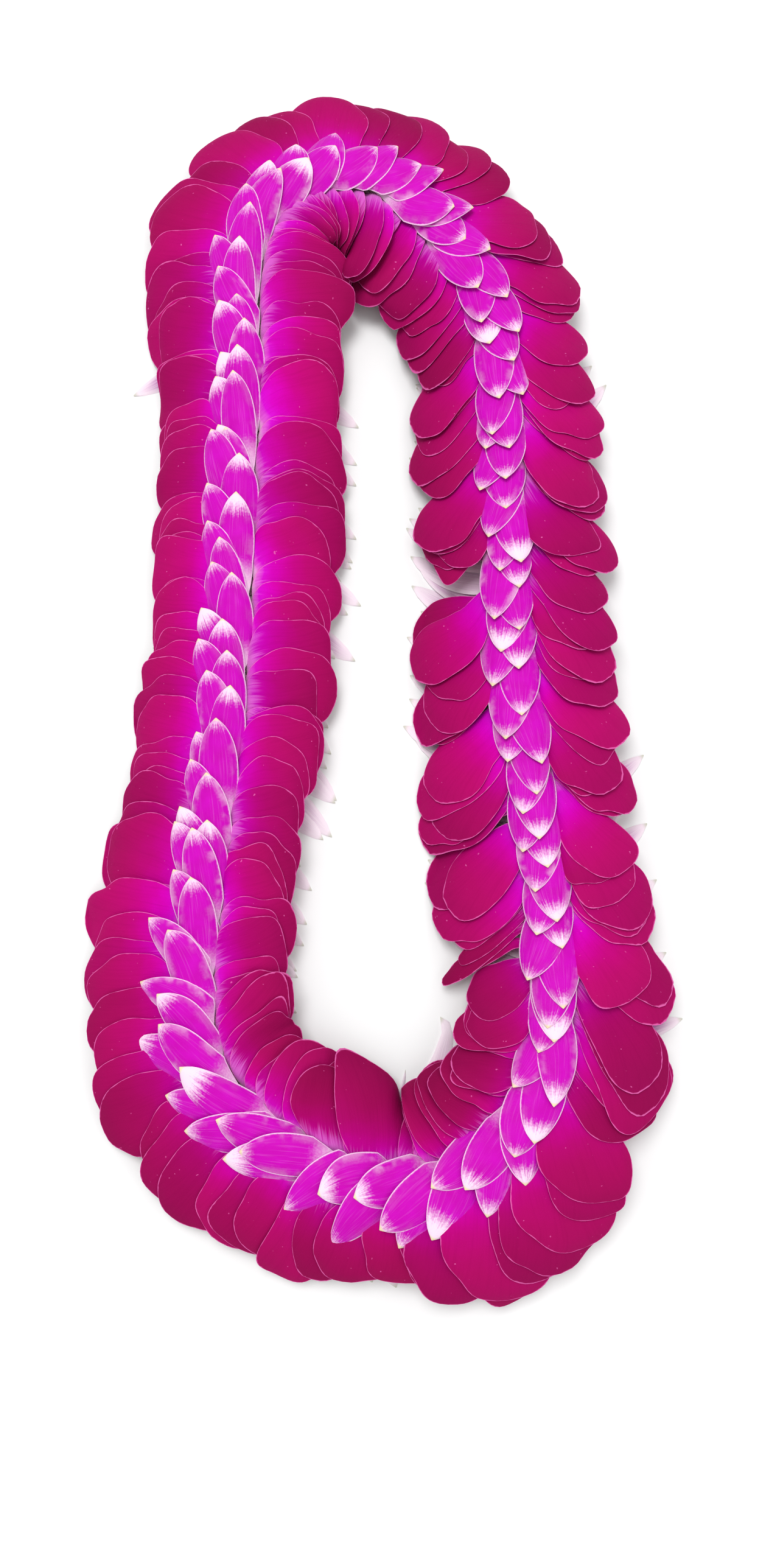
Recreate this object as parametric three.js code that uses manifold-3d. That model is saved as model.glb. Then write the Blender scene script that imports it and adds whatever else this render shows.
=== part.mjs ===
// A fresh flower lei: a closed garland of purple dendrobium orchid blooms, strung one after another on a knotted
// thread and pressed flat, lying on a table. Each bloom has its lip removed. It keeps two broad petals, which spread
// to the outer and the inner side of the garland, a dorsal sepal, which points forward along the thread over the
// blooms ahead of it, two lateral sepals underneath, and the fleshy centre that the thread runs through.
// The blooms overlap like roof tiles, so every blade lies a fixed step above the same blade of the next bloom.
// Millimetres, +Z up, the table at Z = 0. The garland is travelled clockwise as seen from above.
import * as THREE from "three";
import { mergeVertices } from "three/addons/utils/BufferGeometryUtils.js";
import Module from "manifold-3d";

const wasm = await Module();
wasm.setup();

// Driving dimensions
const bloomCount = 120;
const bloomsPerRun = 8; // blooms that are fused into one run of the garland
const jointGap = 5; // extra room at the knot, between the last bloom and the first
const threadHeight = 17; // the thread's axis above the table
const threadRadius = 0.65;
const boreRadius = 1.1; // the hole that the thread leaves through the centres of the blooms
const runGap = 0.5; // between the centres of neighbouring runs
const stalkRadius = 1.7; // the cut stub of a flower stalk, which stands on the table
const stalkSides = 5;
const stalkLean = 3.5; // how far back the stub's cut end lies behind its root

const petalLength = 34;
const petalHalfWidth = 15;
const bladeHalfThickness = 0.34;
const petalRoot = 4.3; // from the thread's axis to the petal's root
const rootBandInner = 3.4; // the band that the roots of a run's petals grow from
const rootBandOuter = 5.2;
const rootBandHalfHeight = 1.15;

const sepalLength = 37;
const sepalHalfWidth = 6.9;
const sepalHeight = 2.9; // above the thread's axis, where the sepal lies on its own bloom
const sepalRootHeight = 1.5;
const sepalStep = 1.45; // one dorsal sepal above the next bloom's

const lateralLength = 35;
const lateralHalfWidth = 5.6;
const lateralRootDepth = 1.4;
const lateralStep = 1.0;
const lateralTipHeight = 1.1; // above the table

// The cross-section of the fleshy centres: distance outward and height, from the thread's axis.
const centreSection = [[2.9, 1.9], [-2.9, 1.9], [-2.9, -2.8], [2.9, -2.8]];

// The garland's line as it lies on the table, from the knot round clockwise, and how it lies there, all chosen by
// eye. x, y: the thread. roll: degrees that the top leans outward. shift: how far the dorsal sepals lie outward.
// fan: degrees that they turn outward. outerEnd, innerEnd: the slope of the petals at their tips, in degrees, before
// the roll. outerStep, innerStep: how far one petal lies above the next bloom's petal.
const stationKeys = ["x", "y", "roll", "shift", "fan", "outerEnd", "innerEnd", "outerStep", "innerStep"];
const stations = [
  [6, -196, -2, 0, 10, -34, -40, 1.5, 1.4],
  [-19, -187, 0, 0.5, 13, -26, -34, 1.5, 1.5],
  [-42, -172, 2, 1, 14, -20, -32, 1.5, 1.5],
  [-57, -153, 3, 1, 14, -20, -34, 1.5, 1.5],
  [-61, -126, 4, 1, 11, -23, -40, 1.4, 1.4],
  [-58.5, -92, 6, 1, 5, -29, -44, 1.4, 1.35],
  [-54, -48, 8, 2, 3, -34, -48, 1.35, 1.35],
  [-50.5, 0, 8, 2.5, 3, -32, -50, 1.35, 1.35],
  [-49.5, 50, 8, 2.5, 3, -32, -50, 1.35, 1.35],
  [-48.5, 100, 8, 2, 3, -32, -46, 1.35, 1.4],
  [-48.5, 144, 6, 1, 4, -22, -28, 1.5, 1.9],
  [-41, 169.5, 5, 0, 8, -16, -20, 1.6, 2.4],
  [-23, 182, 4, 0, 12, -20, -18, 1.6, 2.6],
  [-1, 181, 3, 0, 10, -22, -18, 1.6, 2.6],
  [17, 169, 1, 0, 6, -26, -22, 1.6, 2.3],
  [30.5, 152, -2, 0, 2, -34, -30, 1.5, 1.8],
  [41, 134, -4, -1, 0, -42, -40, 1.4, 1.4],
  [47, 108, -6, -1.5, 0, -48, -44, 1.35, 1.35],
  [49, 70, -8, -1.8, 0, -50, -42, 1.35, 1.35],
  [50.5, 22, -8, -2, 0, -50, -42, 1.35, 1.35],
  [53.5, -28, -8, -2, 0, -50, -40, 1.35, 1.35],
  [59.5, -78, -6, -1, 0, -46, -36, 1.35, 1.35],
  [63, -122, -6, -1.5, 1, -38, -32, 1.4, 1.4],
  [60.5, -152, -5, -1.5, 5, -28, -26, 1.5, 2.2],
  [47.5, -175, -4, -2, 10, -22, -20, 1.5, 2.8],
  [29, -191, -3, -1, 10, -26, -28, 1.5, 2.2],
].map((row) => Object.fromEntries(row.map((value, i) => [stationKeys[i], value])));
const middle = { x: -1.58, y: -5.77 }; // of the garland's outline, in the stations' x and y

// How far the petals sweep forward, in degrees, at some of the blooms, counted from the knot. The petals between
// them follow evenly, and two neighbouring entries that differ leave a gap that shows the underside.
const outerSweep = [
  [0, 4], [14, 2], [24, 6], [50, 10], [58, 8], [64, 28], [72, 36], [86, 38], [96, 40], [106, 40], [114, 26], [119, 12],
];
const innerSweep = [
  [0, 10], [14, 12], [24, 12], [44, 10], [52, 0], [63, 0], [69, 14], [75, 30], [83, 30], [84, 38], [94, 34],
  [101, 22], [107, 8], [119, 6],
];

// How long the petals are, as a share of their length above, at some of the blooms.
const outerShare = [
  [0, 0.97], [4, 1.08], [8, 1.14], [12, 1.12], [16, 1.2], [20, 1.1], [24, 1.02], [28, 0.93], [34, 0.9], [40, 0.97],
  [44, 0.96], [48, 1.02], [52, 1.22], [56, 1.2], [60, 1.0], [64, 1.02], [70, 1.02], [76, 0.95], [84, 0.97],
  [90, 0.91], [96, 0.89], [100, 0.86], [104, 1.04], [108, 1.2], [112, 1.34], [116, 1.28], [119, 1.0],
];
const innerShare = [
  [0, 0.87], [4, 0.84], [8, 0.82], [12, 0.7], [16, 0.72], [20, 0.76], [24, 0.86], [28, 0.91], [34, 0.94], [44, 0.97],
  [48, 0.92], [52, 1.0], [56, 1.1], [60, 1.1], [64, 1.0], [68, 0.83], [72, 0.79], [76, 0.89], [84, 0.84], [88, 0.97],
  [92, 1.12], [96, 1.18], [100, 1.04], [104, 1.0], [108, 0.8], [112, 0.74], [116, 0.9], [119, 0.9],
];

const radians = THREE.MathUtils.degToRad;

// A repeatable draw between -1 and 1 for a bloom and a purpose.
const seed = 11;
function draw(bloom, purpose) {
  const v = Math.sin(bloom * 12.9898 + purpose * 78.233 + seed) * 43758.5453;
  return 2 * (v - Math.floor(v)) - 1;
}

// Straight-line interpolation in a list of [place, value].
function keyed(list, place) {
  for (let i = 1; i < list.length; i++) {
    if (place <= list[i][0]) {
      const share = (place - list[i - 1][0]) / (list[i][0] - list[i - 1][0]);
      return list[i - 1][1] + share * (list[i][1] - list[i - 1][1]);
    }
  }
  return list[list.length - 1][1];
}

// A closed smooth curve through the stations, by the uniform Catmull-Rom rule, tabled against its length.
const samplesPerStation = 24;
function tableRoute() {
  const n = stations.length;
  const rows = [];
  for (let i = 0; i < n; i++) {
    for (let j = 0; j < samplesPerStation; j++) {
      const t = j / samplesPerStation;
      const four = [-1, 0, 1, 2].map((o) => stations[(i + o + n) % n]);
      const row = {};
      for (const key of Object.keys(stations[0])) {
        const [a, b, c, d] = four.map((p) => p[key]);
        row[key] = 0.5 * (2 * b + (c - a) * t + (2 * a - 5 * b + 4 * c - d) * t * t + (3 * b - a - 3 * c + d) * t ** 3);
      }
      row.x -= middle.x;
      row.y -= middle.y;
      rows.push(row);
    }
  }
  let length = 0;
  rows.forEach((row, i) => {
    if (i) length += Math.hypot(row.x - rows[i - 1].x, row.y - rows[i - 1].y);
    row.length = length;
  });
  const last = rows[rows.length - 1];
  return { rows, total: length + Math.hypot(rows[0].x - last.x, rows[0].y - last.y) };
}
const route = tableRoute();
const pitch = (route.total - jointGap) / bloomCount;

// All tabled values at a distance along the garland, which may run past its start or end.
function routeAt(distance) {
  const { rows, total } = route;
  const d = ((distance % total) + total) % total;
  let i = rows.length - 1;
  while (rows[i].length > d) i--;
  const next = rows[(i + 1) % rows.length];
  const span = (i + 1 < rows.length ? next.length : total) - rows[i].length;
  const share = (d - rows[i].length) / span;
  const at = {};
  for (const key of Object.keys(rows[0])) at[key] = rows[i][key] + share * (next[key] - rows[i][key]);
  return at;
}

// The garland's direction and bend at a distance along it, each taken over a short stretch so that they are smooth.
const headingReach = 5;
const bendReach = 12;
function heading(distance) {
  const a = routeAt(distance - headingReach);
  const b = routeAt(distance + headingReach);
  return Math.atan2(b.y - a.y, b.x - a.x);
}
function placeAt(distance) {
  const at = routeAt(distance);
  const angle = heading(distance);
  let turn = heading(distance - bendReach) - heading(distance + bendReach);
  turn = Math.atan2(Math.sin(turn), Math.cos(turn));
  return {
    ...at,
    bend: turn / (2 * bendReach),
    outX: -Math.sin(angle),
    outY: Math.cos(angle),
  };
}

// On the inner side of a bend the blades are pressed together, so that none passes the middle of the bend.
function pressed(at, out) {
  const crowd = Math.max(0, -at.bend * out);
  return out / (1 + crowd ** 4) ** 0.25;
}

// The point beside the thread at a place: a distance outward and a height, both turned with the garland's roll.
function point(at, out, up) {
  const roll = radians(at.roll);
  const b = pressed(at, out * Math.cos(roll) + up * Math.sin(roll));
  const n = up * Math.cos(roll) - out * Math.sin(roll);
  return new THREE.Vector3(at.x + at.outX * b, at.y + at.outY * b, threadHeight + n);
}

// The stretch of the garland's line that a real length covers at a distance outward from that line, for a blade
// that climbs one step for each bloom it passes.
const leastStretch = 0.22;
function alongLine(at, length, out, step) {
  const stretch = Math.max(leastStretch, 1 + at.bend * pressed(at, out));
  const climb = step / (pitch * stretch);
  return length / (stretch * Math.hypot(1, climb));
}

// Distance of a bloom's centre along the garland, from the knot.
const bloomDistance = (bloom) => jointGap / 2 + (bloom + 0.5) * pitch;

// A closed blade of even thickness. Its outline is two chains of points from the shared root, and its faces run
// from chain to chain in the order of the points' ranks. Each point is { spot, rank }.
function bladeGeometry(leftChain, rightChain, across, half) {
  const points = [...new Set([...leftChain, ...rightChain])];
  const count = points.length;
  const left = leftChain.map((point) => points.indexOf(point));
  const right = rightChain.map((point) => points.indexOf(point));
  const faces = [];
  let i = 0;
  let j = 0;
  while (i < left.length - 1 || j < right.length - 1) {
    const leftIsNearer = i < left.length - 1 && points[left[i + 1]].rank <= points[right[j + 1]]?.rank;
    const takeLeft = j === right.length - 1 || leftIsNearer;
    const next = takeLeft ? left[i + 1] : right[j + 1];
    const corners = [left[i], right[j], next];
    if (new Set(corners).size === 3) {
      const [a, b, c] = corners;
      faces.push([a, b, c], [a + count, c + count, b + count]);
    }
    if (takeLeft) i++;
    else j++;
  }
  const rim = [...new Set([...left.slice().reverse(), ...right])];
  rim.forEach((a, k) => {
    const b = rim[(k + 1) % rim.length];
    faces.push([a, b + count, b], [a, a + count, b + count]);
  });
  const shell = [half, -half].flatMap((h) => points.map(({ spot }) => spot.clone().addScaledVector(across, h)));
  return solidGeometry(shell, faces);
}

// A closed tube through rings of points. Each ring has the same count, and an open tube gets flat ends.
function tubeGeometry(rings, closed) {
  const sides = rings[0].length;
  const faces = [];
  const stretches = closed ? rings.length : rings.length - 1;
  for (let r = 0; r < stretches; r++) {
    const a = r * sides;
    const b = ((r + 1) % rings.length) * sides;
    for (let i = 0; i < sides; i++) {
      const j = (i + 1) % sides;
      faces.push([a + i, a + j, b + j], [a + i, b + j, b + i]);
    }
  }
  if (!closed) {
    const end = (rings.length - 1) * sides;
    for (let i = 1; i + 1 < sides; i++) faces.push([0, i + 1, i], [end, end + i, end + i + 1]);
  }
  return solidGeometry(rings.flat(), faces);
}

// A geometry from points and faces, turned so that its faces point out.
function solidGeometry(points, faces) {
  let volume = 0;
  const cross = new THREE.Vector3();
  for (const [a, b, c] of faces) volume += points[a].dot(cross.crossVectors(points[b], points[c]));
  const index = faces.flatMap(([a, b, c]) => (volume > 0 ? [a, b, c] : [a, c, b]));
  const geometry = new THREE.BufferGeometry();
  geometry.setAttribute("position", new THREE.Float32BufferAttribute(points.flatMap((p) => p.toArray()), 3));
  geometry.setIndex(index);
  return geometry;
}

function toManifold(geometry) {
  const merged = mergeVertices(geometry, 1e-4);
  const vertProperties = new Float32Array(merged.attributes.position.array);
  return new wasm.Manifold(
    new wasm.Mesh({ numProp: 3, vertProperties, triVerts: new Uint32Array(merged.index.array) }),
  );
}

const seamTolerance = 0.04; // corners that lie closer than this to a straight edge or a flat face are left out
function fromManifold(solid) {
  const { numProp, vertProperties, triVerts } = solid.asOriginal().simplify(seamTolerance).getMesh();
  const positions = new Float32Array((vertProperties.length / numProp) * 3);
  for (let i = 0; i < positions.length / 3; i++) {
    positions.set(vertProperties.subarray(i * numProp, i * numProp + 3), i * 3);
  }
  const geometry = new THREE.BufferGeometry();
  geometry.setAttribute("position", new THREE.BufferAttribute(positions, 3));
  geometry.setIndex(new THREE.BufferAttribute(triVerts, 1));
  return geometry;
}

const fuse = (geometries) => geometries.map(toManifold).reduce((whole, piece) => whole.add(piece));

// The height profile of the petals on one side: it leaves the thread at one slope and bends evenly to another.
const startSlope = radians(3);
function petalSkin(at, side, reach) {
  const end = radians(side > 0 ? at.outerEnd : at.innerEnd);
  const curl = (end - startSlope) / petalLength;
  const slope = startSlope + curl * reach;
  return {
    out: petalRoot + (Math.sin(slope) - Math.sin(startSlope)) / curl,
    up: (Math.cos(startSlope) - Math.cos(slope)) / curl,
    slope,
  };
}

// The direction across a blade at a place, for its slope outward from the thread and its climb along it.
function acrossBlade(at, side, slope, climb) {
  const roll = radians(at.roll);
  const out = -side * Math.sin(slope);
  const b = out * Math.cos(roll) + Math.cos(slope) * Math.sin(roll);
  const n = Math.cos(slope) * Math.cos(roll) - out * Math.sin(roll);
  const direction = new THREE.Vector3(at.outX * b - at.outY * climb, at.outY * b + at.outX * climb, n);
  return direction.normalize();
}

// The two chains of a blade's outline: [length, half-width] from the root, then a tip that they share or two ends.
// A place that returns nothing leaves its corner out.
function chains(outline, place) {
  const root = place(outline[0][0], 0);
  const [left, right] = [-1, 1].map((edge) =>
    outline.slice(1).flatMap(([along, half]) => place(along, edge * half) ?? []),
  );
  if (outline[outline.length - 1][1] === 0) right[right.length - 1] = left[left.length - 1];
  return [[root, ...left], [root, ...right]];
}

// One petal: a broad rounded blade on a narrow claw. Where it sweeps far forward, its front edge runs straight from
// the claw.
const leastReach = 4.5;
function petal(bloom, side, halfThickness = bladeHalfThickness) {
  const centre = bloomDistance(bloom);
  const atCentre = placeAt(centre);
  const step = side > 0 ? atCentre.outerStep : atCentre.innerStep;
  const room = 1 + Math.min(0, atCentre.bend * side * 0.5 * petalLength);
  const stray = Math.max(0, 12 * room - 7) * draw(bloom, side > 0 ? 1 : 2);
  const sweep = radians(keyed(side > 0 ? outerSweep : innerSweep, bloom) + stray);
  const share = keyed(side > 0 ? outerShare : innerShare, bloom);
  const length = petalLength * share * (1 + 0.05 * room * draw(bloom, side > 0 ? 3 : 4));
  const width = petalHalfWidth * (0.25 + 0.75 * room) * (1 + 0.05 * room * draw(bloom, side > 0 ? 5 : 6));
  const place = (along, across) => {
    const forward = along * Math.sin(sweep) + across * Math.cos(sweep);
    const reach = along * Math.cos(sweep) - across * Math.sin(sweep);
    if (along && reach < leastReach) return undefined;
    const ahead = alongLine(atCentre, forward, side * petalSkin(atCentre, side, reach).out, step);
    const at = placeAt(centre + ahead);
    const skin = petalSkin(at, side, reach);
    const above = (step * ahead) / pitch;
    const out = side * (skin.out - Math.sin(skin.slope) * above);
    return { spot: point(at, out, skin.up + Math.cos(skin.slope) * above), rank: reach };
  };
  const outline = [[0, 0], [0.3 * length, 0.8 * width], [0.7 * length, width], [length, 0.42 * room * width]];
  const middle = petalSkin(atCentre, side, 0.5 * petalLength);
  const climb = step / (pitch * Math.max(leastStretch, 1 + atCentre.bend * side * middle.out));
  return bladeGeometry(...chains(outline, place), acrossBlade(atCentre, side, middle.slope, climb), halfThickness);
}

// The dorsal sepal: long and pointed. Being straighter than the garland, it crosses the garland's line where that
// bends: its root stands on the centre, its blade lies inward of the line at first, and its tip drifts outward.
const sepalPivot = 20; // from the root to where the sepal crosses the line
const sepalDrift = 0.3; // how far its tip drifts outward, for each square of its length
function dorsalSepal(bloom) {
  const centre = bloomDistance(bloom);
  const atCentre = placeAt(centre);
  const length = sepalLength * (1 + 0.05 * draw(bloom, 7));
  const turned = radians(atCentre.fan + 5 * draw(bloom, 9));
  const place = (along, across) => {
    const forward = along * Math.cos(turned) - across * Math.sin(turned);
    const pivot = sepalPivot * Math.min(1, Math.max(0, along / 14));
    const drift = sepalDrift * Math.max(0, atCentre.bend) * (forward * forward - pivot * pivot);
    const shift = (atCentre.shift + 0.8 * draw(bloom, 8)) * Math.min(1, Math.max(0, along / 14));
    const crossing = along * Math.sin(turned) - pivot * Math.sin(radians(atCentre.fan));
    const aside = shift + crossing + across * Math.cos(turned) + drift;
    const ahead = alongLine(atCentre, forward, aside, sepalStep);
    const height = along > 0 ? sepalHeight : sepalRootHeight;
    return { spot: point(placeAt(centre + ahead), aside, height + (sepalStep * ahead) / pitch), rank: along };
  };
  const outline = [[-0.6, 0], [0.38 * length, sepalHalfWidth], [0.72 * length, 0.84 * sepalHalfWidth], [length, 0]];
  return bladeGeometry(...chains(outline, place), acrossBlade(atCentre, 1, 0, 0), bladeHalfThickness);
}

// A lateral sepal: it leaves the underside of the centre, turns back a little and slopes down to the table.
const lateralBack = 14;
function lateralSepal(bloom, side) {
  const centre = bloomDistance(bloom);
  const atCentre = { ...placeAt(centre), roll: 0 };
  const turned = radians(-lateralBack + 5 * draw(bloom, side > 0 ? 10 : 11));
  const crowding = Math.min(1, 0.6 + 0.5 * Math.max(leastStretch, 1 + atCentre.bend * side * lateralLength));
  const length = lateralLength * crowding * (1 + 0.05 * draw(bloom, side > 0 ? 12 : 13));
  const fullFall = threadHeight - lateralRootDepth - lateralTipHeight;
  const place = (along, across) => {
    const forward = along * Math.sin(turned) + across * Math.cos(turned);
    const out = 0.6 + along * Math.cos(turned) - across * Math.sin(turned);
    const at = placeAt(centre + alongLine(atCentre, forward, side * out, lateralStep));
    const fall = fullFall * Math.sin((0.5 * Math.PI * along) / length) - (along && (lateralStep * across) / pitch);
    return { spot: point({ ...at, roll: 0 }, side * out, -lateralRootDepth - fall), rank: along };
  };
  const outline = [[0, 0], [0.48 * length, lateralHalfWidth], [length, 0]];
  const slope = -Math.atan2(fullFall, length);
  return bladeGeometry(...chains(outline, place), acrossBlade(atCentre, side, slope, 0), bladeHalfThickness);
}

const runLength = bloomsPerRun * pitch;
const runStart = (run) => jointGap / 2 + run * runLength;

// The distances along the garland where a run's centres and the thread through them change direction, closer
// together where the garland bends.
function runDistances(run) {
  const turn = heading(runStart(run)) - heading(runStart(run + 1));
  const pieces = Math.max(2, Math.ceil(Math.sqrt(17 * Math.abs(Math.atan2(Math.sin(turn), Math.cos(turn))))));
  return Array.from({ length: pieces + 1 }, (_, i) => runStart(run) + (i / pieces) * runLength);
}

// The same distances with the two ends moved outward by a length, or inward if it is negative.
function movedEnds(distances, length) {
  return [distances[0] - length, ...distances.slice(1, -1), distances[distances.length - 1] + length];
}

// A closed tube along the garland with a section of [distance outward, height] from the thread's axis.
const tubeAlong = (distances, section) =>
  tubeGeometry(distances.map((d) => section.map(([out, up]) => point(placeAt(d), out, up))), false);

const squareSection = (radius) => [[radius, 0], [0, radius], [-radius, 0], [0, -radius]];

// A round peg between two ring centres, each given by a distance along the garland, outward and above the table.
function peg(ends, radius, sides) {
  const rings = ends.map(([distance, out, height]) => {
    const at = placeAt(distance);
    return Array.from({ length: sides }, (_, i) => {
      const angle = (i / sides) * 2 * Math.PI;
      const aside = out + radius * Math.cos(angle);
      const ahead = radius * Math.sin(angle);
      const x = at.x + at.outX * aside + at.outY * ahead;
      const y = at.y + at.outY * aside - at.outX * ahead;
      return new THREE.Vector3(x, y, height);
    });
  });
  return tubeGeometry(rings, false);
}

// The sepals of a run of blooms on their fleshy centres, with the hole that the thread leaves through them. One
// bloom of the run keeps a stub of its stalk, which carries the run.
const stubBloom = 3;
function sepalsOfRun(run) {
  const first = run * bloomsPerRun;
  const distances = runDistances(run);
  const pieces = [tubeAlong(movedEnds(distances, -runGap / 2), centreSection)];
  for (let bloom = first; bloom < first + bloomsPerRun; bloom++) {
    pieces.push(dorsalSepal(bloom));
    pieces.push(lateralSepal(bloom, bloom % 2 ? 1 : -1));
  }
  const stub = bloomDistance(first + stubBloom);
  pieces.push(peg([[stub - stalkLean, 0, 0], [stub, 0, threadHeight - 1.6]], stalkRadius, stalkSides));
  const bore = toManifold(tubeAlong(movedEnds(distances, 1), squareSection(boreRadius)));
  return fromManifold(fuse(pieces).subtract(bore));
}

// The petals of a run of blooms on one side, grown together at their roots. Where a bend presses them onto the first
// petals of the next run, they give way to those.
const pressedGap = 0.12;
const pressedCount = 3;
function petalsOfRun(run, side) {
  const band = [
    [side * rootBandInner, -rootBandHalfHeight],
    [side * rootBandOuter, -rootBandHalfHeight],
    [side * rootBandOuter, rootBandHalfHeight],
    [side * rootBandInner, rootBandHalfHeight],
  ];
  const pieces = [tubeAlong(movedEnds(runDistances(run), -runGap / 2), band)];
  const first = run * bloomsPerRun;
  for (let i = 0; i < bloomsPerRun; i++) pieces.push(petal(first + i, side));
  let solid = fuse(pieces);
  for (let ahead = 0; ahead < pressedCount; ahead++) {
    const bloom = first + bloomsPerRun + ahead;
    const guard = toManifold(petal(bloom % bloomCount, side, bladeHalfThickness + pressedGap));
    if (guard.intersect(solid).volume() > 0) solid = solid.subtract(guard);
  }
  return fromManifold(solid.decompose().sort((a, b) => b.volume() - a.volume())[0]);
}

// The thread: one closed loop through all the centres, with its knot and two cut ends at the joint.
const knotRadius = 2;
const tailLength = 7;
function threadGeometry(runs) {
  const distances = [];
  for (let run = 0; run < runs; run++) distances.push(...runDistances(run).slice(run ? 1 : 0));
  const rings = distances.map((d) => squareSection(threadRadius).map(([out, up]) => point(placeAt(d), out, up)));
  const centre = point(placeAt(0), 0, 0);
  const knot = new THREE.IcosahedronGeometry(knotRadius, 0);
  knot.deleteAttribute("normal");
  knot.deleteAttribute("uv");
  knot.translate(centre.x, centre.y, centre.z);
  const tail = (side) =>
    peg([[0, side * 1.8, threadHeight - tailLength], [0, side * 0.7, threadHeight]], threadRadius, 4);
  return fromManifold(fuse([tubeGeometry(rings, true), mergeVertices(knot, 1e-4), tail(1), tail(-1)]));
}

// Assembly
const petalMaterial = new THREE.MeshStandardMaterial({ color: 0xa30a5c, roughness: 0.62, metalness: 0 });
const innerPetalMaterial = new THREE.MeshStandardMaterial({ color: 0xab0a6c, roughness: 0.62, metalness: 0 });
const sepalMaterial = new THREE.MeshStandardMaterial({ color: 0xcf4fc6, roughness: 0.55, metalness: 0 });
const threadMaterial = new THREE.MeshStandardMaterial({ color: 0xf1efe6, roughness: 0.85, metalness: 0 });

const lei = new THREE.Group();
lei.name = "flower_lei";

function addNode(name, geometry, material) {
  const mesh = new THREE.Mesh(geometry, material);
  mesh.name = name;
  lei.add(mesh);
}

const runCount = bloomCount / bloomsPerRun;
for (let run = 0; run < runCount; run++) {
  const label = `blooms_${String(run + 1).padStart(2, "0")}`;
  addNode(`${label}_sepals`, sepalsOfRun(run), sepalMaterial);
  addNode(`${label}_outer_petals`, petalsOfRun(run, 1), petalMaterial);
  addNode(`${label}_inner_petals`, petalsOfRun(run, -1), innerPetalMaterial);
}
addNode("thread", threadGeometry(runCount), threadMaterial);

export default lei;
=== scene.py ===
import bpy
import numpy as np
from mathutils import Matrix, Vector


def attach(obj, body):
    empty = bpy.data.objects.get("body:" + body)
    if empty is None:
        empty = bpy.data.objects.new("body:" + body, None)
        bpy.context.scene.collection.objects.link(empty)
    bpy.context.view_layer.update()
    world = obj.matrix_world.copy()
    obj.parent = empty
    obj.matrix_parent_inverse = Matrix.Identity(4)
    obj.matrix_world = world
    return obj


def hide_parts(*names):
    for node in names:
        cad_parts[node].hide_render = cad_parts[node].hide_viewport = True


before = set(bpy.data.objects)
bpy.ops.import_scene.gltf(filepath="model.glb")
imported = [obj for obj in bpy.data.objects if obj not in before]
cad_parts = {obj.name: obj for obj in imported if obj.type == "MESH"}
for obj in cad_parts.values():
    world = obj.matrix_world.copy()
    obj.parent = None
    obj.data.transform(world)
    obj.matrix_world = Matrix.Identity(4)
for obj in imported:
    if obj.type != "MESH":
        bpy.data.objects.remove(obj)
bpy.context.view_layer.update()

print("frame loaded")

millimetre = 0.001  # shapes are worked out in millimetres and stored in metres

garland = {
    "bloomCount": 120,
    "bloomsPerRun": 8,
    "jointGap": 5,  # extra room at the knot
    "threadHeight": 17,
    "middle": (-1.58, -5.77),  # of the outline, in the stations' x and y
    "samplesPerStation": 24,
    "headingReach": 5,  # to either side, for the direction
    "bendReach": 12,  # to either side, for the bend
    "leastStretch": 0.22,  # keeps the blades from fanning past the middle of a bend
    "bunch": 4.2,  # blooms
    "seed": 11,
    # from the knot round clockwise: x, y, roll, shift of the dorsal sepals and their fan, slopes of the outer
    # and the inner petals at their tips, rises from one outer and from one inner petal to the next
    "stations": [
        (6, -196, -2, 0, 10, -34, -40, 1.5, 1.4),
        (-19, -187, 0, 0.5, 13, -26, -34, 1.5, 1.5),
        (-42, -172, 2, 1, 14, -20, -32, 1.5, 1.5),
        (-57, -153, 3, 1, 14, -20, -34, 1.5, 1.5),
        (-61, -126, 4, 1, 11, -23, -40, 1.4, 1.4),
        (-58.5, -92, 6, 1, 5, -29, -44, 1.4, 1.35),
        (-54, -48, 8, 2, 3, -34, -48, 1.35, 1.35),
        (-50.5, 0, 8, 2.5, 3, -32, -50, 1.35, 1.35),
        (-49.5, 50, 8, 2.5, 3, -32, -50, 1.35, 1.35),
        (-48.5, 100, 8, 2, 3, -32, -46, 1.35, 1.4),
        (-48.5, 144, 6, 1, 4, -22, -28, 1.5, 1.9),
        (-41, 169.5, 5, 0, 8, -16, -20, 1.6, 2.4),
        (-23, 182, 4, 0, 12, -20, -18, 1.6, 2.6),
        (-1, 181, 3, 0, 10, -22, -18, 1.6, 2.6),
        (17, 169, 1, 0, 6, -26, -22, 1.6, 2.3),
        (30.5, 152, -2, 0, 2, -34, -30, 1.5, 1.8),
        (41, 134, -4, -1, 0, -42, -40, 1.4, 1.4),
        (47, 108, -6, -1.5, 0, -48, -44, 1.35, 1.35),
        (49, 70, -8, -1.8, 0, -50, -42, 1.35, 1.35),
        (50.5, 22, -8, -2, 0, -50, -42, 1.35, 1.35),
        (53.5, -28, -8, -2, 0, -50, -40, 1.35, 1.35),
        (59.5, -78, -6, -1, 0, -46, -36, 1.35, 1.35),
        (63, -122, -6, -1.5, 1, -38, -32, 1.4, 1.4),
        (60.5, -152, -5, -1.5, 5, -28, -26, 1.5, 2.2),
        (47.5, -175, -4, -2, 10, -22, -20, 1.5, 2.8),
        (29, -191, -3, -1, 10, -26, -28, 1.5, 2.2),
    ],
}
stationNames = ("x", "y", "roll", "shift", "fan", "outerEnd", "innerEnd", "outerStep", "innerStep")

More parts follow.
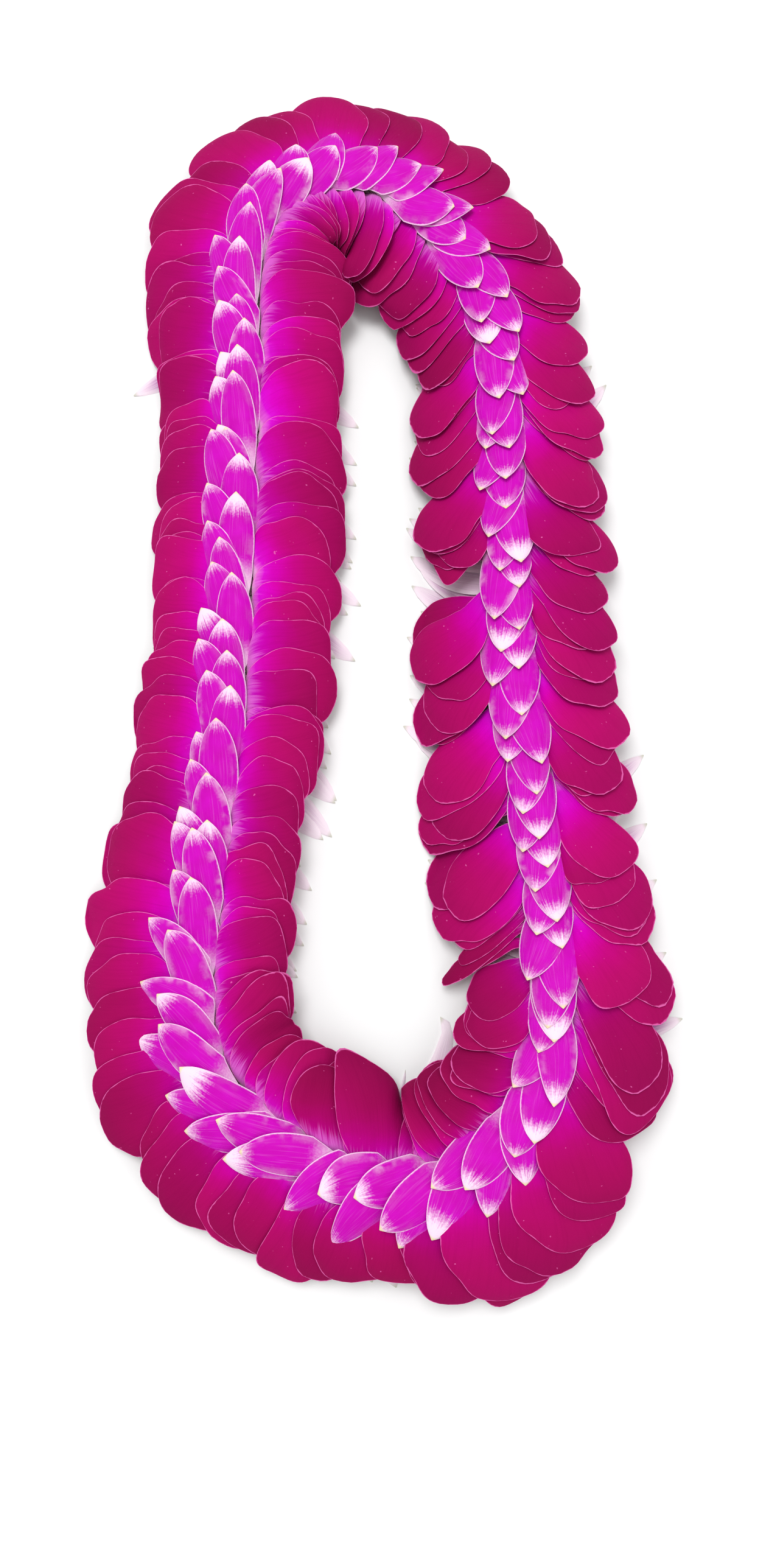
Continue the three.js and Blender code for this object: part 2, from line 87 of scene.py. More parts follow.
# each spread has its own number for its draws, and the inner side takes the next one
drawNumbers = {
    "petalStray": 1, "petalLength": 3, "petalWidth": 5, "petalPlace": 30, "petalSweep": 32, "petalSlide": 34,
    "petalTip": 38, "petalLobe": 40, "petalRimLift": 50, "petalRippleCount": 52, "petalRippleStart": 54,
    "petalTone": 56, "petalOwn": 58,
    "dorsalLength": 7, "dorsalShift": 8, "dorsalTurn": 9, "dorsalPlace": 60, "dorsalWidth": 61,
    "dorsalTip": 62, "dorsalTone": 63, "dorsalOwn": 64, "dorsalSlide": 65,
    "lateralTurn": 10, "lateralLength": 12, "lateralExtra": 14, "lateralTone": 70, "lateralOwn": 72,
    "centreLobes": 80, "centreTone": 81, "stalkLength": 83, "stalkAside": 84, "stalkTone": 85,
}


def tableRoute():
    # A closed uniform Catmull-Rom curve through every column of the stations, tabled against its length in
    # x and y.
    rows = np.array(garland["stations"], float)
    t = (np.arange(garland["samplesPerStation"]) / garland["samplesPerStation"])[None, :, None]
    a, b, c, d = (np.roll(rows, back, axis=0)[:, None, :] for back in (1, 0, -1, -2))
    squared = (2 * a - 5 * b + 4 * c - d) * t**2
    cubed = (3 * b - a - 3 * c + d) * t**3
    table = 0.5 * (2 * b + (c - a) * t + squared + cubed)
    table = table.reshape(-1, rows.shape[1])
    table[:, :2] -= garland["middle"]
    steps = np.hypot(*(np.roll(table[:, :2], -1, axis=0) - table[:, :2]).T)
    return np.cumsum(steps) - steps, table, steps.sum()


routeLengths, routeTable, routeTotal = tableRoute()
pitch = (routeTotal - garland["jointGap"]) / garland["bloomCount"]
allBlooms = np.arange(garland["bloomCount"])


def column(name, distance):
    # The tabled value at a distance along the garland, by straight-line interpolation.
    return np.interp(distance, routeLengths, routeTable[:, stationNames.index(name)], period=routeTotal)


def heading(distance):
    # The angle from the point a little way back to the point a little way ahead.
    reach = garland["headingReach"]
    dx = column("x", distance + reach) - column("x", distance - reach)
    dy = column("y", distance + reach) - column("y", distance - reach)
    return np.arctan2(dy, dx)


def placeAt(distance):
    # All tabled values, the outward direction, and the bend: the heading's turn to the right for each
    # millimetre.
    place = {name: column(name, distance) for name in stationNames}
    angle = heading(distance)
    reach = garland["bendReach"]
    turn = heading(distance - reach) - heading(distance + reach)
    place["bend"] = np.arctan2(np.sin(turn), np.cos(turn)) / (2 * reach)
    place["outX"] = -np.sin(angle)
    place["outY"] = np.cos(angle)
    return place


def pressed(place, out):
    # Distances toward the middle of a bend level off, out / (1 + crowd^4)^(1/4), so that no blade passes the
    # middle.
    crowd = np.maximum(0, -place["bend"] * out)
    return out / (1 + crowd**4) ** 0.25


def pointAt(place, out, up, rolls=True):
    # The point at a distance outward and a height from the thread, both turned with the garland's roll.
    roll = np.radians(place["roll"]) if rolls else 0.0
    aside = pressed(place, out * np.cos(roll) + up * np.sin(roll))
    rise = up * np.cos(roll) - out * np.sin(roll)
    x = place["x"] + place["outX"] * aside
    y = place["y"] + place["outY"] * aside
    return np.stack(np.broadcast_arrays(x, y, garland["threadHeight"] + rise), axis=-1)


def alongLine(place, length, out, step):
    # The stretch of the thread that a real length covers beside it, less on the outside of a bend than on
    # its inside.
    stretch = np.maximum(garland["leastStretch"], 1 + place["bend"] * pressed(place, out))
    return length / (stretch * np.hypot(1, step / (pitch * stretch)))


def draw(bloom, spread, further=0):
    # A repeatable draw between -1 and 1: the fraction of a large multiple of a sine.
    number = drawNumbers[spread] + further
    value = np.sin(bloom * 12.9898 + number * 78.233 + garland["seed"]) * 43758.5453
    return 2 * (value - np.floor(value)) - 1


def keyed(pairs, bloom):
    # A value that is given for some blooms, interpolated for the others.
    return np.interp(bloom, *zip(*pairs))


def waved(bloom, start):
    # A slow unrest along the garland, between -1 and 1: two sines of the bloom's number.
    return 0.6 * np.sin(1.83 * bloom + start) + 0.4 * np.sin(0.71 * bloom + 2.3 * start)


def bunched(bloom, side):
    # Blooms in bunches of about four: a falling sawtooth between -1 and 1, with x = b / 4.2 + 0.3 sin(0.53 b)
    # and 1 - 2 times the fraction of x.
    share = bloom / garland["bunch"] + 0.3 * np.sin(0.53 * bloom + 2 * side)
    return 1 - 2 * (share - np.floor(share))


def bloomDistance(bloom):
    return garland["jointGap"] / 2 + (bloom + 0.5) * pitch


def sideWord(side):
    return "outer" if side > 0 else "inner"


def ramp(value, length):
    # Rises from 0 to 1 over a length.
    return np.clip(value / length, 0, 1)


def bell(value, width):
    # A bell curve, exp(-(value / width)²).
    return np.exp(-(value / width) ** 2)


def discGrid(count):
    # A square grid laid on a round disc: p = s sqrt(1 - t²/2) and q = t sqrt(1 - s²/2). The grid's lines lie
    # at (5 x - x³) / 4, closer together at the rim.
    line = np.linspace(-1, 1, count)
    line = line * (1.25 - 0.25 * line**2)
    s, t = np.meshgrid(line, line, indexing="ij")
    return s * np.sqrt(1 - t**2 / 2), t * np.sqrt(1 - s**2 / 2)


def bladeGrid(rows, columns):
    # u runs evenly from root to tip. v runs from edge to edge and is closer together there: the sine of an
    # even angle, which ends short of a quarter turn.
    crowding = 0.92
    u = np.linspace(0, 1, rows)
    v = np.sin(0.5 * np.pi * np.linspace(-1, 1, columns) * crowding) / np.sin(0.5 * np.pi * crowding)
    return np.meshgrid(u, v, indexing="ij")


def blades(middle, half, facing, **values):
    # Middle surfaces of blades, with half the thickness and the other values spread over all their points.
    spread = {name: np.broadcast_to(value, middle.shape[:3]) for name, value in values.items()}
    return {"middle": middle, "half": np.broadcast_to(half, middle.shape[:3]), "facing": facing,
            "values": spread}


def thickened(middle, half, facing):
    # Two skins at half a thickness to both sides of the middle surface, along the cross product of its two
    # directions.
    normal = np.cross(np.gradient(middle, axis=-3), np.gradient(middle, axis=-2))
    normal = facing * normal / np.maximum(np.linalg.norm(normal, axis=-1, keepdims=True), 1e-9)
    return middle + normal * half[..., None], middle - normal * half[..., None]


def closedBlades(middle, half, facing, values):
    # Blades of one grid each, closed where the two skins meet at the rim. The lower skin shares the rim's
    # vertices, and the border is marked so that the two skins are shaded apart.
    count, rows, columns = middle.shape[:3]
    half = half.copy()
    half[:, [0, -1], :] = 0
    half[:, :, [0, -1]] = 0
    upper, lower = thickened(middle, half, facing)
    gridSize = rows * columns
    perBlade = gridSize + (rows - 2) * (columns - 2)
    upperId = np.arange(gridSize).reshape(rows, columns)
    lowerId = upperId.copy()
    lowerId[1:-1, 1:-1] = np.arange(gridSize, perBlade).reshape(rows - 2, columns - 2)
    quads = []
    for ids, flip in ((upperId, facing < 0), (lowerId, facing > 0)):
        quad = np.stack([ids[:-1, :-1], ids[1:, :-1], ids[1:, 1:], ids[:-1, 1:]], axis=-1).reshape(-1, 4)
        quads.append(quad[:, ::-1] if flip else quad)
    faces = (np.concatenate(quads)[None] + (np.arange(count) * perBlade)[:, None, None]).reshape(-1, 4)
    lowerInner = lower[:, 1:-1, 1:-1].reshape(count, -1, 3)
    points = np.concatenate([upper.reshape(count, -1, 3), lowerInner], axis=1).reshape(-1, 3)
    spread = {}
    for name, value in values.items():
        inner = value[:, 1:-1, 1:-1].reshape(count, -1)
        spread[name] = np.concatenate([value.reshape(count, -1), inner], axis=1).ravel()
    border = np.zeros(perBlade, bool)
    border[:gridSize] = True
    border[upperId[1:-1, 1:-1]] = False
    return {"points": points, "faces": [faces], "values": spread, "border": np.tile(border, count)}


def partOf(surface, first, count):
    # The blades of some blooms only, out of arrays whose first axis is the bloom.
    own = slice(first, first + count)
    values = {key: value[own] for key, value in surface["values"].items()}
    return closedBlades(surface["middle"][own], surface["half"][own], surface["facing"], values)


def closedTubes(rings, values):
    # Tubes through rings of points, (tube, ring, place on the ring), each end closed to a point at its
    # ring's middle.
    count, ringCount, sides = rings.shape[:3]
    ends = np.stack([rings[:, 0].mean(axis=1), rings[:, -1].mean(axis=1)], axis=1)
    points = np.concatenate([rings.reshape(count, -1, 3), ends], axis=1).reshape(-1, 3)
    ids = np.arange(ringCount * sides).reshape(ringCount, sides)
    following = np.roll(ids, -1, axis=1)
    quads = np.stack([ids[:-1], following[:-1], following[1:], ids[1:]], axis=-1).reshape(-1, 4)
    first = np.stack([following[0], ids[0], np.full(sides, ringCount * sides)], axis=-1)
    last = np.stack([ids[-1], following[-1], np.full(sides, ringCount * sides + 1)], axis=-1)
    starts = (np.arange(count) * (ringCount * sides + 2))[:, None, None]
    faces = [(block[None] + starts).reshape(-1, block.shape[1])
             for block in (quads, np.concatenate([first, last]))]
    spread = {}
    for name, value in values.items():
        full = np.broadcast_to(value, rings.shape[:3]).reshape(count, -1)
        spread[name] = np.concatenate([full, full[:, :1], full[:, -1:]], axis=1).ravel()
    return {"points": points, "faces": faces, "values": spread, "border": np.zeros(len(points), bool)}


def joined(parts, materials):
    # One set of points, faces and values out of several, each with its own material number.
    points, faces, slots, start = [], [], [], 0
    for part, material in zip(parts, materials):
        points.append(part["points"])
        for block in part["faces"]:
            faces.append(block + start)
            slots.append(np.full(len(block), material))
        start += len(part["points"])
    names = parts[0]["values"].keys()
    return {
        "points": np.concatenate(points),
        "faces": faces,
        "slots": np.concatenate(slots),
        "values": {name: np.concatenate([part["values"][name] for part in parts]) for name in names},
        "border": np.concatenate([part["border"] for part in parts]),
    }


def makePiece(name, shape, materials, nodes):
    # The mesh is filled from whole arrays. Its map "blade" holds (u, v), and the other values become
    # attributes.
    mesh = bpy.data.meshes.new(name)
    points = shape["points"] * millimetre
    sizes = np.concatenate([np.full(len(block), block.shape[1]) for block in shape["faces"]])
    corners = np.concatenate([block.ravel() for block in shape["faces"]])
    mesh.vertices.add(len(points))
    mesh.vertices.foreach_set("co", points.ravel())
    mesh.loops.add(len(corners))
    mesh.loops.foreach_set("vertex_index", corners)
    mesh.polygons.add(len(sizes))
    mesh.polygons.foreach_set("loop_start", np.cumsum(sizes) - sizes)
    if "slots" in shape:
        mesh.polygons.foreach_set("material_index", shape["slots"])
    mesh.update(calc_edges=True)
    values = shape["values"]
    bladeMap = mesh.uv_layers.new(name="blade")
    bladeMap.data.foreach_set("uv", np.stack([values["u"], values["v"]], axis=-1)[corners].ravel())
    for key in ("rim", "tone", "own"):
        mesh.attributes.new(key, "FLOAT", "POINT").data.foreach_set("value", values[key])
    mesh.shade_smooth()
    ends = np.empty(2 * len(mesh.edges), np.int32)
    mesh.edges.foreach_get("vertices", ends)
    sharp = shape["border"][ends].reshape(-1, 2).all(axis=1)
    mesh.attributes.new("sharp_edge", "BOOLEAN", "EDGE").data.foreach_set("value", sharp)
    for material in materials:
        mesh.materials.append(material)
    piece = bpy.data.objects.new(name, mesh)
    bpy.context.scene.collection.objects.link(piece)
    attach(piece, "root")
    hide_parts(*nodes)


# Lists of pairs give a value for some blooms, counted from the knot. A "start" is the length over which a
# change sets in, counted from the root.
petals = {
    "grid": 19,
    "length": 34,
    "halfWidth": 15,
    "root": 4.3,  # from the thread to the petal's root
    "rootRound": 2,  # how roundly the reach levels off at the root
    "startSlope": 3,
    "leastHeight": 1.0,  # over the table
    "halfThickness": 0.2,
    "clawThickening": 0.3,
    "clawLength": 6,
    "lengthMean": 1.02,
    "lengthSpread": 0.11,
    "widthSpread": 0.1,
    "bendWidth": 0.35,  # share of the width that is left where a bend leaves no room
    "placeSpread": 0.5,  # how far a petal's root lies off its regular place along the thread
    "slideBunch": 4.0,  # how far the petals of a bunch slide together, each in its own layer
    "slideSpread": 2.4,  # how far each slides forward or back besides
    "slideStart": 12,
    "sweepBunch": 8,
    "sweepSpread": 5,
    "strayMost": 12,  # degrees: this times the room, less the next one
    "strayLess": 7,
    "lobes": ((2, 0.04), (3, 0.05), (5, 0.03), (7, 0.016)),  # waves round the outline: how many, and how high
    "tipPoint": ((0, 0.07), (64, 0.07), (72, 0.2), (104, 0.2), (110, 0.08), (119, 0.07)),
    "tipLeast": 0.6,  # share of the point, before its spread
    "tipWidth": 0.35,
    "squareness": ((0, 2.8), (64, 2.8), (72, 3.3), (104, 3.3), (110, 2.8), (119, 2.8)),  # 2 for an oval
    "clawNarrowing": ((0, 0.4), (58, 0.4), (68, 0.76), (106, 0.76), (112, 0.45), (119, 0.4)),
    "outerWidth": ((0, 0.92), (8, 0.95), (60, 1.0), (70, 0.84), (106, 0.84), (112, 0.95), (119, 0.92)),
    "innerWidth": ((0, 1.0), (70, 1.0), (76, 0.9), (104, 0.9), (112, 1.0), (119, 1.0)),
    # how much of the bunches' slide and sweep shows along the garland
    "outerBunch": ((0, 0.25), (8, 0.35), (16, 0.8), (60, 0.8), (70, 1.1), (106, 1.1), (112, 0.5), (119, 0.4)),
    "innerBunch": ((0, 0.8), (16, 0.8), (60, 0.8), (70, 1.0), (106, 1.0), (119, 0.8)),
    "edgeStart": 0.45,  # share of the radius
    "rimLift": 0.16,
    "rimRipple": 0.12,
    "rippleCount": 4,
    "rippleCountSpread": 2,
    "usualStep": 1.4,  # the rise that lift and ripple belong to
    "grooveDepth": 0.25,
    "grooveWidth": 1.3,
    "rimDroop": 0.42,  # of the rise from one petal to the next
    "rimDroopWidth": 1.6,
    "rimDroopStart": 8,
    "farRim": 12,
    "shoulder": 2.0,  # how far the petals swell up beside the sepals
    "shoulderReach": 5,
    # the share of the length, along the garland, that keeps the outline of the photographed lei
    "outerReach": ((0, 0.97), (4, 1.08), (8, 1.14), (12, 1.12), (16, 1.2), (20, 1.1), (24, 1.02), (28, 0.93),
                   (34, 0.9), (40, 0.97), (44, 0.96), (48, 1.02), (52, 1.22), (56, 1.2), (60, 1.0),
                   (64, 1.04), (70, 1.12), (76, 1.09), (84, 1.13), (90, 1.06), (96, 1.05), (100, 1.0),
                   (104, 1.15), (108, 1.25), (112, 1.35), (116, 1.28), (119, 1.0)),
    "innerReach": ((0, 0.87), (4, 0.84), (8, 0.82), (12, 0.7), (16, 0.72), (20, 0.76), (24, 0.86), (28, 0.91),
                   (34, 0.94), (44, 0.97), (48, 0.92), (52, 1.0), (56, 1.1), (60, 1.1), (64, 1.0), (68, 0.84),
                   (72, 0.81), (76, 0.93), (84, 0.89), (88, 1.02), (92, 1.17), (96, 1.22), (100, 1.06),
                   (104, 1.0), (108, 0.8), (112, 0.74), (116, 0.9), (119, 0.9)),
    "swell": ((43, 0.8, 0.3), (23, 0.55, 2.1), (12.5, 0.25, 4.0)),  # shared waves: length, height, phase
    "outerSweep": ((0, 4), (14, 2), (24, 6), (50, 10), (58, 8), (64, 30), (72, 46), (86, 48), (96, 50),
                   (106, 46), (114, 28), (119, 12)),
    "innerSweep": ((0, 10), (14, 12), (24, 12), (44, 10), (52, 0), (63, 0), (69, 16), (75, 34), (82, 34),
                   (84, 36), (90, 32), (94, 32), (101, 24), (107, 8), (119, 6)),
    # 0 for the bright violet row and 1 for the darker crimson row, which darkens some stretches of the
    # garland
    "outerTone": ((0, 0.75), (12, 0.5), (20, 0.15), (35, 0.05), (48, 0.1), (54, 0.7), (64, 0.6), (70, 0.1),
                  (80, 0.05), (100, 0.15), (108, 0.55), (119, 0.8)),
    "innerTone": ((0, 0.8), (8, 0.78), (14, 0.4), (25, 0.25), (44, 0.25), (50, 0.45), (58, 0.55), (66, 0.55),
                  (74, 0.5), (86, 0.45), (94, 0.2), (104, 0.2), (109, 0.85), (116, 1.0), (119, 0.85)),
    "toneSpread": 0.3,
    # single petals that lie otherwise: side, bloom, slide, sweep, shares of length and width, tone
    "touches": (
        (-1, 0, 2, 6, 1.1, 1.1, -0.1), (-1, 1, -4, -6, 1, 1, 0), (-1, 2, 2, 4, 1, 1, 0.2),
        (-1, 3, -3, 0, 1, 1, 0), (-1, 117, -1, -8, 1, 1, 0), (-1, 118, -2, -16, 1, 1, 0),
        (-1, 119, -5, -30, 1, 0.8, 0), (-1, 82, -2, -12, 1, 1, 0), (-1, 83, -3, -22, 1, 1, 0.1),
        (-1, 84, -5, -40, 1, 0.9, 0.2), (-1, 85, -6, -48, 1, 0.9, 0.2), (-1, 86, 8, -14, 1.0, 0.95, -0.1),
        (-1, 87, 2, -8, 1, 1, 0), (-1, 101, -1, -6, 1, 0.9, 0.2), (-1, 102, 0, 18, 1.05, 0.28, 0.6),
        (-1, 103, 0, 16, 1.08, 0.3, 0.6), (-1, 104, 0, 16, 1.04, 0.3, 0.6), (-1, 105, 2, 24, 0.95, 0.8, 0.3),
        (-1, 106, 1, 16, 0.95, 0.9, 0.2), (1, 48, 3, 6, 1.12, 1, 0), (1, 51, 0, 0, 0.93, 1, 0),
        (1, 53, 0, 0, 0.93, 1, 0), (1, 66, 0, 0, 0.93, 1, 0), (1, 67, 0, 0, 0.9, 1, 0),
        (1, 88, 2, 4, 1.06, 1, 0), (1, 107, 0, 0, 1.1, 1, 0), (1, 110, 0, 0, 1.15, 1.05, 0),
        (1, 111, 0, 0, 1.12, 1, 0), (1, 112, 0, 0, 0.94, 1, 0), (1, 115, 2, 4, 1.14, 1.1, -0.1),
        (1, 116, 0, 0, 1.15, 1, 0), (1, 117, 0, 0, 0.97, 1, 0), (1, 118, 0, 0, 0.9, 1, 0),
        (1, 119, 0, 0, 0.88, 1, 0),
    ),
}


def touchesOf(side):
    # What single petals have besides: slide, sweep, share of the length, share of the width and tone.
    table = np.tile((0.0, 0.0, 1.0, 1.0, 0.0), (garland["bloomCount"], 1))
    for which, bloom, *row in petals["touches"]:
        if which == side:
            table[bloom] = row
    return table.T[..., None, None]


def petalSkin(place, side, reach):
    # The side's height profile: an arc that leaves the thread at one slope and bends evenly to another.
    start = np.radians(petals["startSlope"])
    curl = (np.radians(place[sideWord(side) + "End"]) - start) / petals["length"]
    slope = start + curl * reach
    out = petals["root"] + (np.sin(slope) - np.sin(start)) / curl
    return out, (np.cos(start) - np.cos(slope)) / curl, slope


def swellAt(distance, reach, side):
    # Long waves that all petals share, so that they stay apart: each grows with the square of the reach.
    share = np.clip(reach / petals["length"], 0, 1.2) ** 2
    waves = [height * np.sin(2 * np.pi * distance / length + phase + side)
             for length, height, phase in petals["swell"]]
    return share * sum(waves)


def petalSize(bloom, side, room):
    # Length and half-width: the usual ones, times the shares that are given along the garland, times a
    # spread, which is less where a bend leaves little room.
    word, inner = sideWord(side), int(side < 0)
    spread = petals["lengthMean"] + petals["lengthSpread"] * room * draw(bloom, "petalLength", inner)
    length = petals["length"] * keyed(petals[word + "Reach"], bloom) * spread
    width = petals["halfWidth"] * (petals["bendWidth"] + (1 - petals["bendWidth"]) * room)
    width = width * (1 + petals["widthSpread"] * room * draw(bloom, "petalWidth", inner))
    return length, width * keyed(petals[word + "Width"], bloom)


def petalOutline(bloom, inner, length, width):
    # A disc of the radius 1 drawn out: along = (p g + 1) / 2 × length and across = q g n × width. Here g is
    # 1 + r² × lobes × (1 + p), the last at most 1, and n squares the disc off and narrows its claw:
    # (1 - |p|^s)^(1/s) / sqrt(1 - p²) × (1 - c ((1 - p) / 2)^(9.5 - 10 c)). The rim's distance is
    # (1 - r²) / 2 over the steepness of r.
    p, q = discGrid(petals["grid"])
    angle = np.arctan2(q, p)
    radius = np.hypot(p, q)
    lobes = sum(height * np.cos(waves * angle + np.pi * draw(bloom, "petalLobe", 2 * waves + inner))
                for waves, height in petals["lobes"])
    tip = keyed(petals["tipPoint"], bloom) * (petals["tipLeast"] + draw(bloom, "petalTip", inner))
    lobes = lobes + tip * bell(angle, petals["tipWidth"])
    grow = 1 + radius**2 * lobes * np.clip(1 + p, 0, 1)
    square = keyed(petals["squareness"], bloom)
    claw = keyed(petals["clawNarrowing"], bloom)
    narrow = (1.0001 - np.abs(p) ** square) ** (1 / square) / np.sqrt(1.0002 - p**2)
    narrow = narrow * (1 - claw * ((1 - p) / 2) ** (9.5 - 10 * claw))
    along = length * (p * grow + 1) / 2
    across = width * q * grow * narrow
    steepness = np.sqrt((2 * p / length) ** 2 + (q / (width * narrow)) ** 2)
    rim = np.minimum((1 - radius**2) / (2 * steepness + 1e-9), petals["farRim"])
    return p, q, angle, radius, along, across, rim


def petalSurface(side):
    # The outline is turned by the sweep and slides along the thread: forward = along sin(sweep) + across
    # cos(sweep) + slide, reach = along cos(sweep) - across sin(sweep). It lies on the side's skin, raised by
    # one step for each bloom that it passes, with a lifted and rippled edge, a groove along its middle and a
    # rim that droops as a bell curve. Near the thread it swells up as x exp(1 - x).
    bloom = allBlooms[:, None, None]
    word, inner = sideWord(side), int(side < 0)
    centre = bloomDistance(bloom) + petals["placeSpread"] * draw(bloom, "petalPlace", inner)
    atCentre = placeAt(centre)
    step = atCentre[word + "Step"]
    room = 1 + np.minimum(0, atCentre["bend"] * side * 0.5 * petals["length"])  # less inside a bend
    ownSlide, ownSweep, ownLength, ownWidth, ownTone = touchesOf(side)
    bunch = bunched(bloom, side) * keyed(petals[word + "Bunch"], bloom)
    strayMost = np.maximum(0, petals["strayMost"] * room - petals["strayLess"])
    turn = petals["sweepSpread"] * draw(bloom, "petalSweep", inner) + petals["sweepBunch"] * bunch
    stray = strayMost * draw(bloom, "petalStray", inner) + room * turn
    sweep = np.radians(keyed(petals[word + "Sweep"], bloom) + stray + ownSweep)
    length, width = petalSize(bloom, side, room)
    length = length * ownLength
    p, q, angle, radius, along, across, rim = petalOutline(bloom, inner, length, width * ownWidth)

    slide = petals["slideSpread"] * draw(bloom, "petalSlide", inner) + petals["slideBunch"] * bunch
    slide = (slide * np.sqrt(room) + ownSlide) * ramp(along, petals["slideStart"])
    forward = along * np.sin(sweep) + across * np.cos(sweep) + slide
    reach = along * np.cos(sweep) - across * np.sin(sweep)
    reach = 0.5 * (reach + np.sqrt(reach**2 + petals["rootRound"]))  # never back past the root
    ahead = alongLine(atCentre, forward, side * petalSkin(atCentre, side, reach)[0], step)
    place = placeAt(centre + ahead)
    out, up, slope = petalSkin(place, side, reach)
    lift = petals["rimLift"] * draw(bloom, "petalRimLift", inner) * np.clip(p + 0.6, 0, 1)
    count = petals["rippleCount"] + petals["rippleCountSpread"] * draw(bloom, "petalRippleCount", inner)
    ripple = petals["rimRipple"] * np.sin(count * angle + 6 * draw(bloom, "petalRippleStart", inner))
    edge = ramp(radius - petals["edgeStart"], 1 - petals["edgeStart"]) ** 2
    above = step * ahead / pitch + step / petals["usualStep"] * edge * (lift + ripple)
    above = above - petals["grooveDepth"] * bell(across, petals["grooveWidth"]) * np.clip(1 - radius, 0, 1)
    droop = petals["rimDroop"] * step * bell(rim, petals["rimDroopWidth"])
    above = above - droop * ramp(along, petals["rimDroopStart"])
    crest = reach / petals["shoulderReach"]
    up = up + swellAt(centre + ahead, reach, side) + petals["shoulder"] * crest * np.exp(1 - crest)
    middle = pointAt(place, side * (out - np.sin(slope) * above), up + np.cos(slope) * above)
    middle[..., 2] = np.maximum(middle[..., 2], petals["leastHeight"])
    claw = petals["clawThickening"] * np.exp(-along / petals["clawLength"])
    half = (petals["halfThickness"] + claw) * (1 - radius**6)
    tone = keyed(petals[word + "Tone"], bloom) + petals["toneSpread"] * draw(bloom, "petalTone", inner)
    return blades(middle, half, -side, u=along / length, v=0.5 + 0.5 * q, rim=rim,
                  tone=np.clip(tone + ownTone, 0, 1), own=0.5 + 0.5 * draw(bloom, "petalOwn", inner))


dorsals = {
    "rows": 25,
    "columns": 13,
    "tipCrowding": 1.25,
    "length": 37,
    "halfWidth": ((0, 7.2), (4, 6.6), (12, 6.4), (18, 6.7), (48, 6.8), (56, 7.5), (102, 7.6), (108, 7.2),
                  (119, 7.2)),
    "widest": 0.5,  # share of the length
    "rootWidth": 0.56,  # share of the width
    "leastWidth": 0.02,
    "fallPower": 0.8,
    # the power of the fall to the tip: more for blunter tips
    "bluntness": ((0, 2.5), (12, 2.8), (50, 2.8), (60, 2.3), (70, 2.1), (106, 2.1), (119, 2.4)),
    "point": 0.3,  # how much narrower the last bit of the tip is
    "pointLength": 0.04,
    "longer": ((0, 1.1), (4, 1.18), (12, 1.16), (18, 1.03), (24, 1.0), (100, 1.0), (108, 1.08), (119, 1.1)),
    "height": 2.9,
    "rootHeight": 1.5,
    "riseStart": 4,
    "step": 1.45,
    "arch": 0.8,  # how far the middle stands over the edges
    "archLevel": 0.35,
    "tipBend": 0.5,
    "tipStart": 0.75,
    "halfThickness": 0.26,
    "placeSpread": 0.6,
    "slideSpread": 4.6,
    "slideStart": 12,
    "lengthSpread": 0.08,
    "widthSpread": 0.06,
    "drift": 0.3,  # how far a blade drifts outward in a bend, for each square of its length
    "pivot": 17,  # how far ahead of its root a blade's turning point lies
    # how far the tips turn outward besides the fan
    "lean": ((0, 13), (8, 6), (14, 6), (22, 10), (46, 9), (54, 2), (62, 0), (70, -6), (98, -7), (106, -6),
             (112, 0), (119, 12)),
    "turnEvery": 12,  # neighbours lean to either side by turns
    "turnSpread": 6,
    "turnStart": 14,
    "turnUnrest": 1.3,
    "unrestPhase": 7,
    "shiftEvery": 1.4,
    "shiftSpread": 1.6,
    "droop": 0.017,  # how far the blades lie lower off the garland's line, for each square of the distance
    # more of the same where there is room under the row's edge, and less where the petals stand high
    "innerDroop": ((0, 0), (5, 0.03), (12, 0.045), (17, 0.035), (38, 0.035), (43, 0.046), (50, 0.05),
                   (54, 0.04), (60, 0), (78, 0), (84, -0.016), (88, -0.024), (94, -0.014), (106, -0.01),
                   (112, -0.026), (116, -0.014), (119, -0.004)),
    "outerDroop": ((0, -0.006), (3, -0.014), (8, -0.022), (12, -0.012), (16, 0), (50, 0), (55, -0.016),
                   (60, -0.014), (65, 0), (68, 0), (80, 0.028), (100, 0.028), (106, 0), (119, -0.002)),
    "droopReach": 6.5,
    "rimDroop": 0.45,
    "rimDroopWidth": 1.1,
}


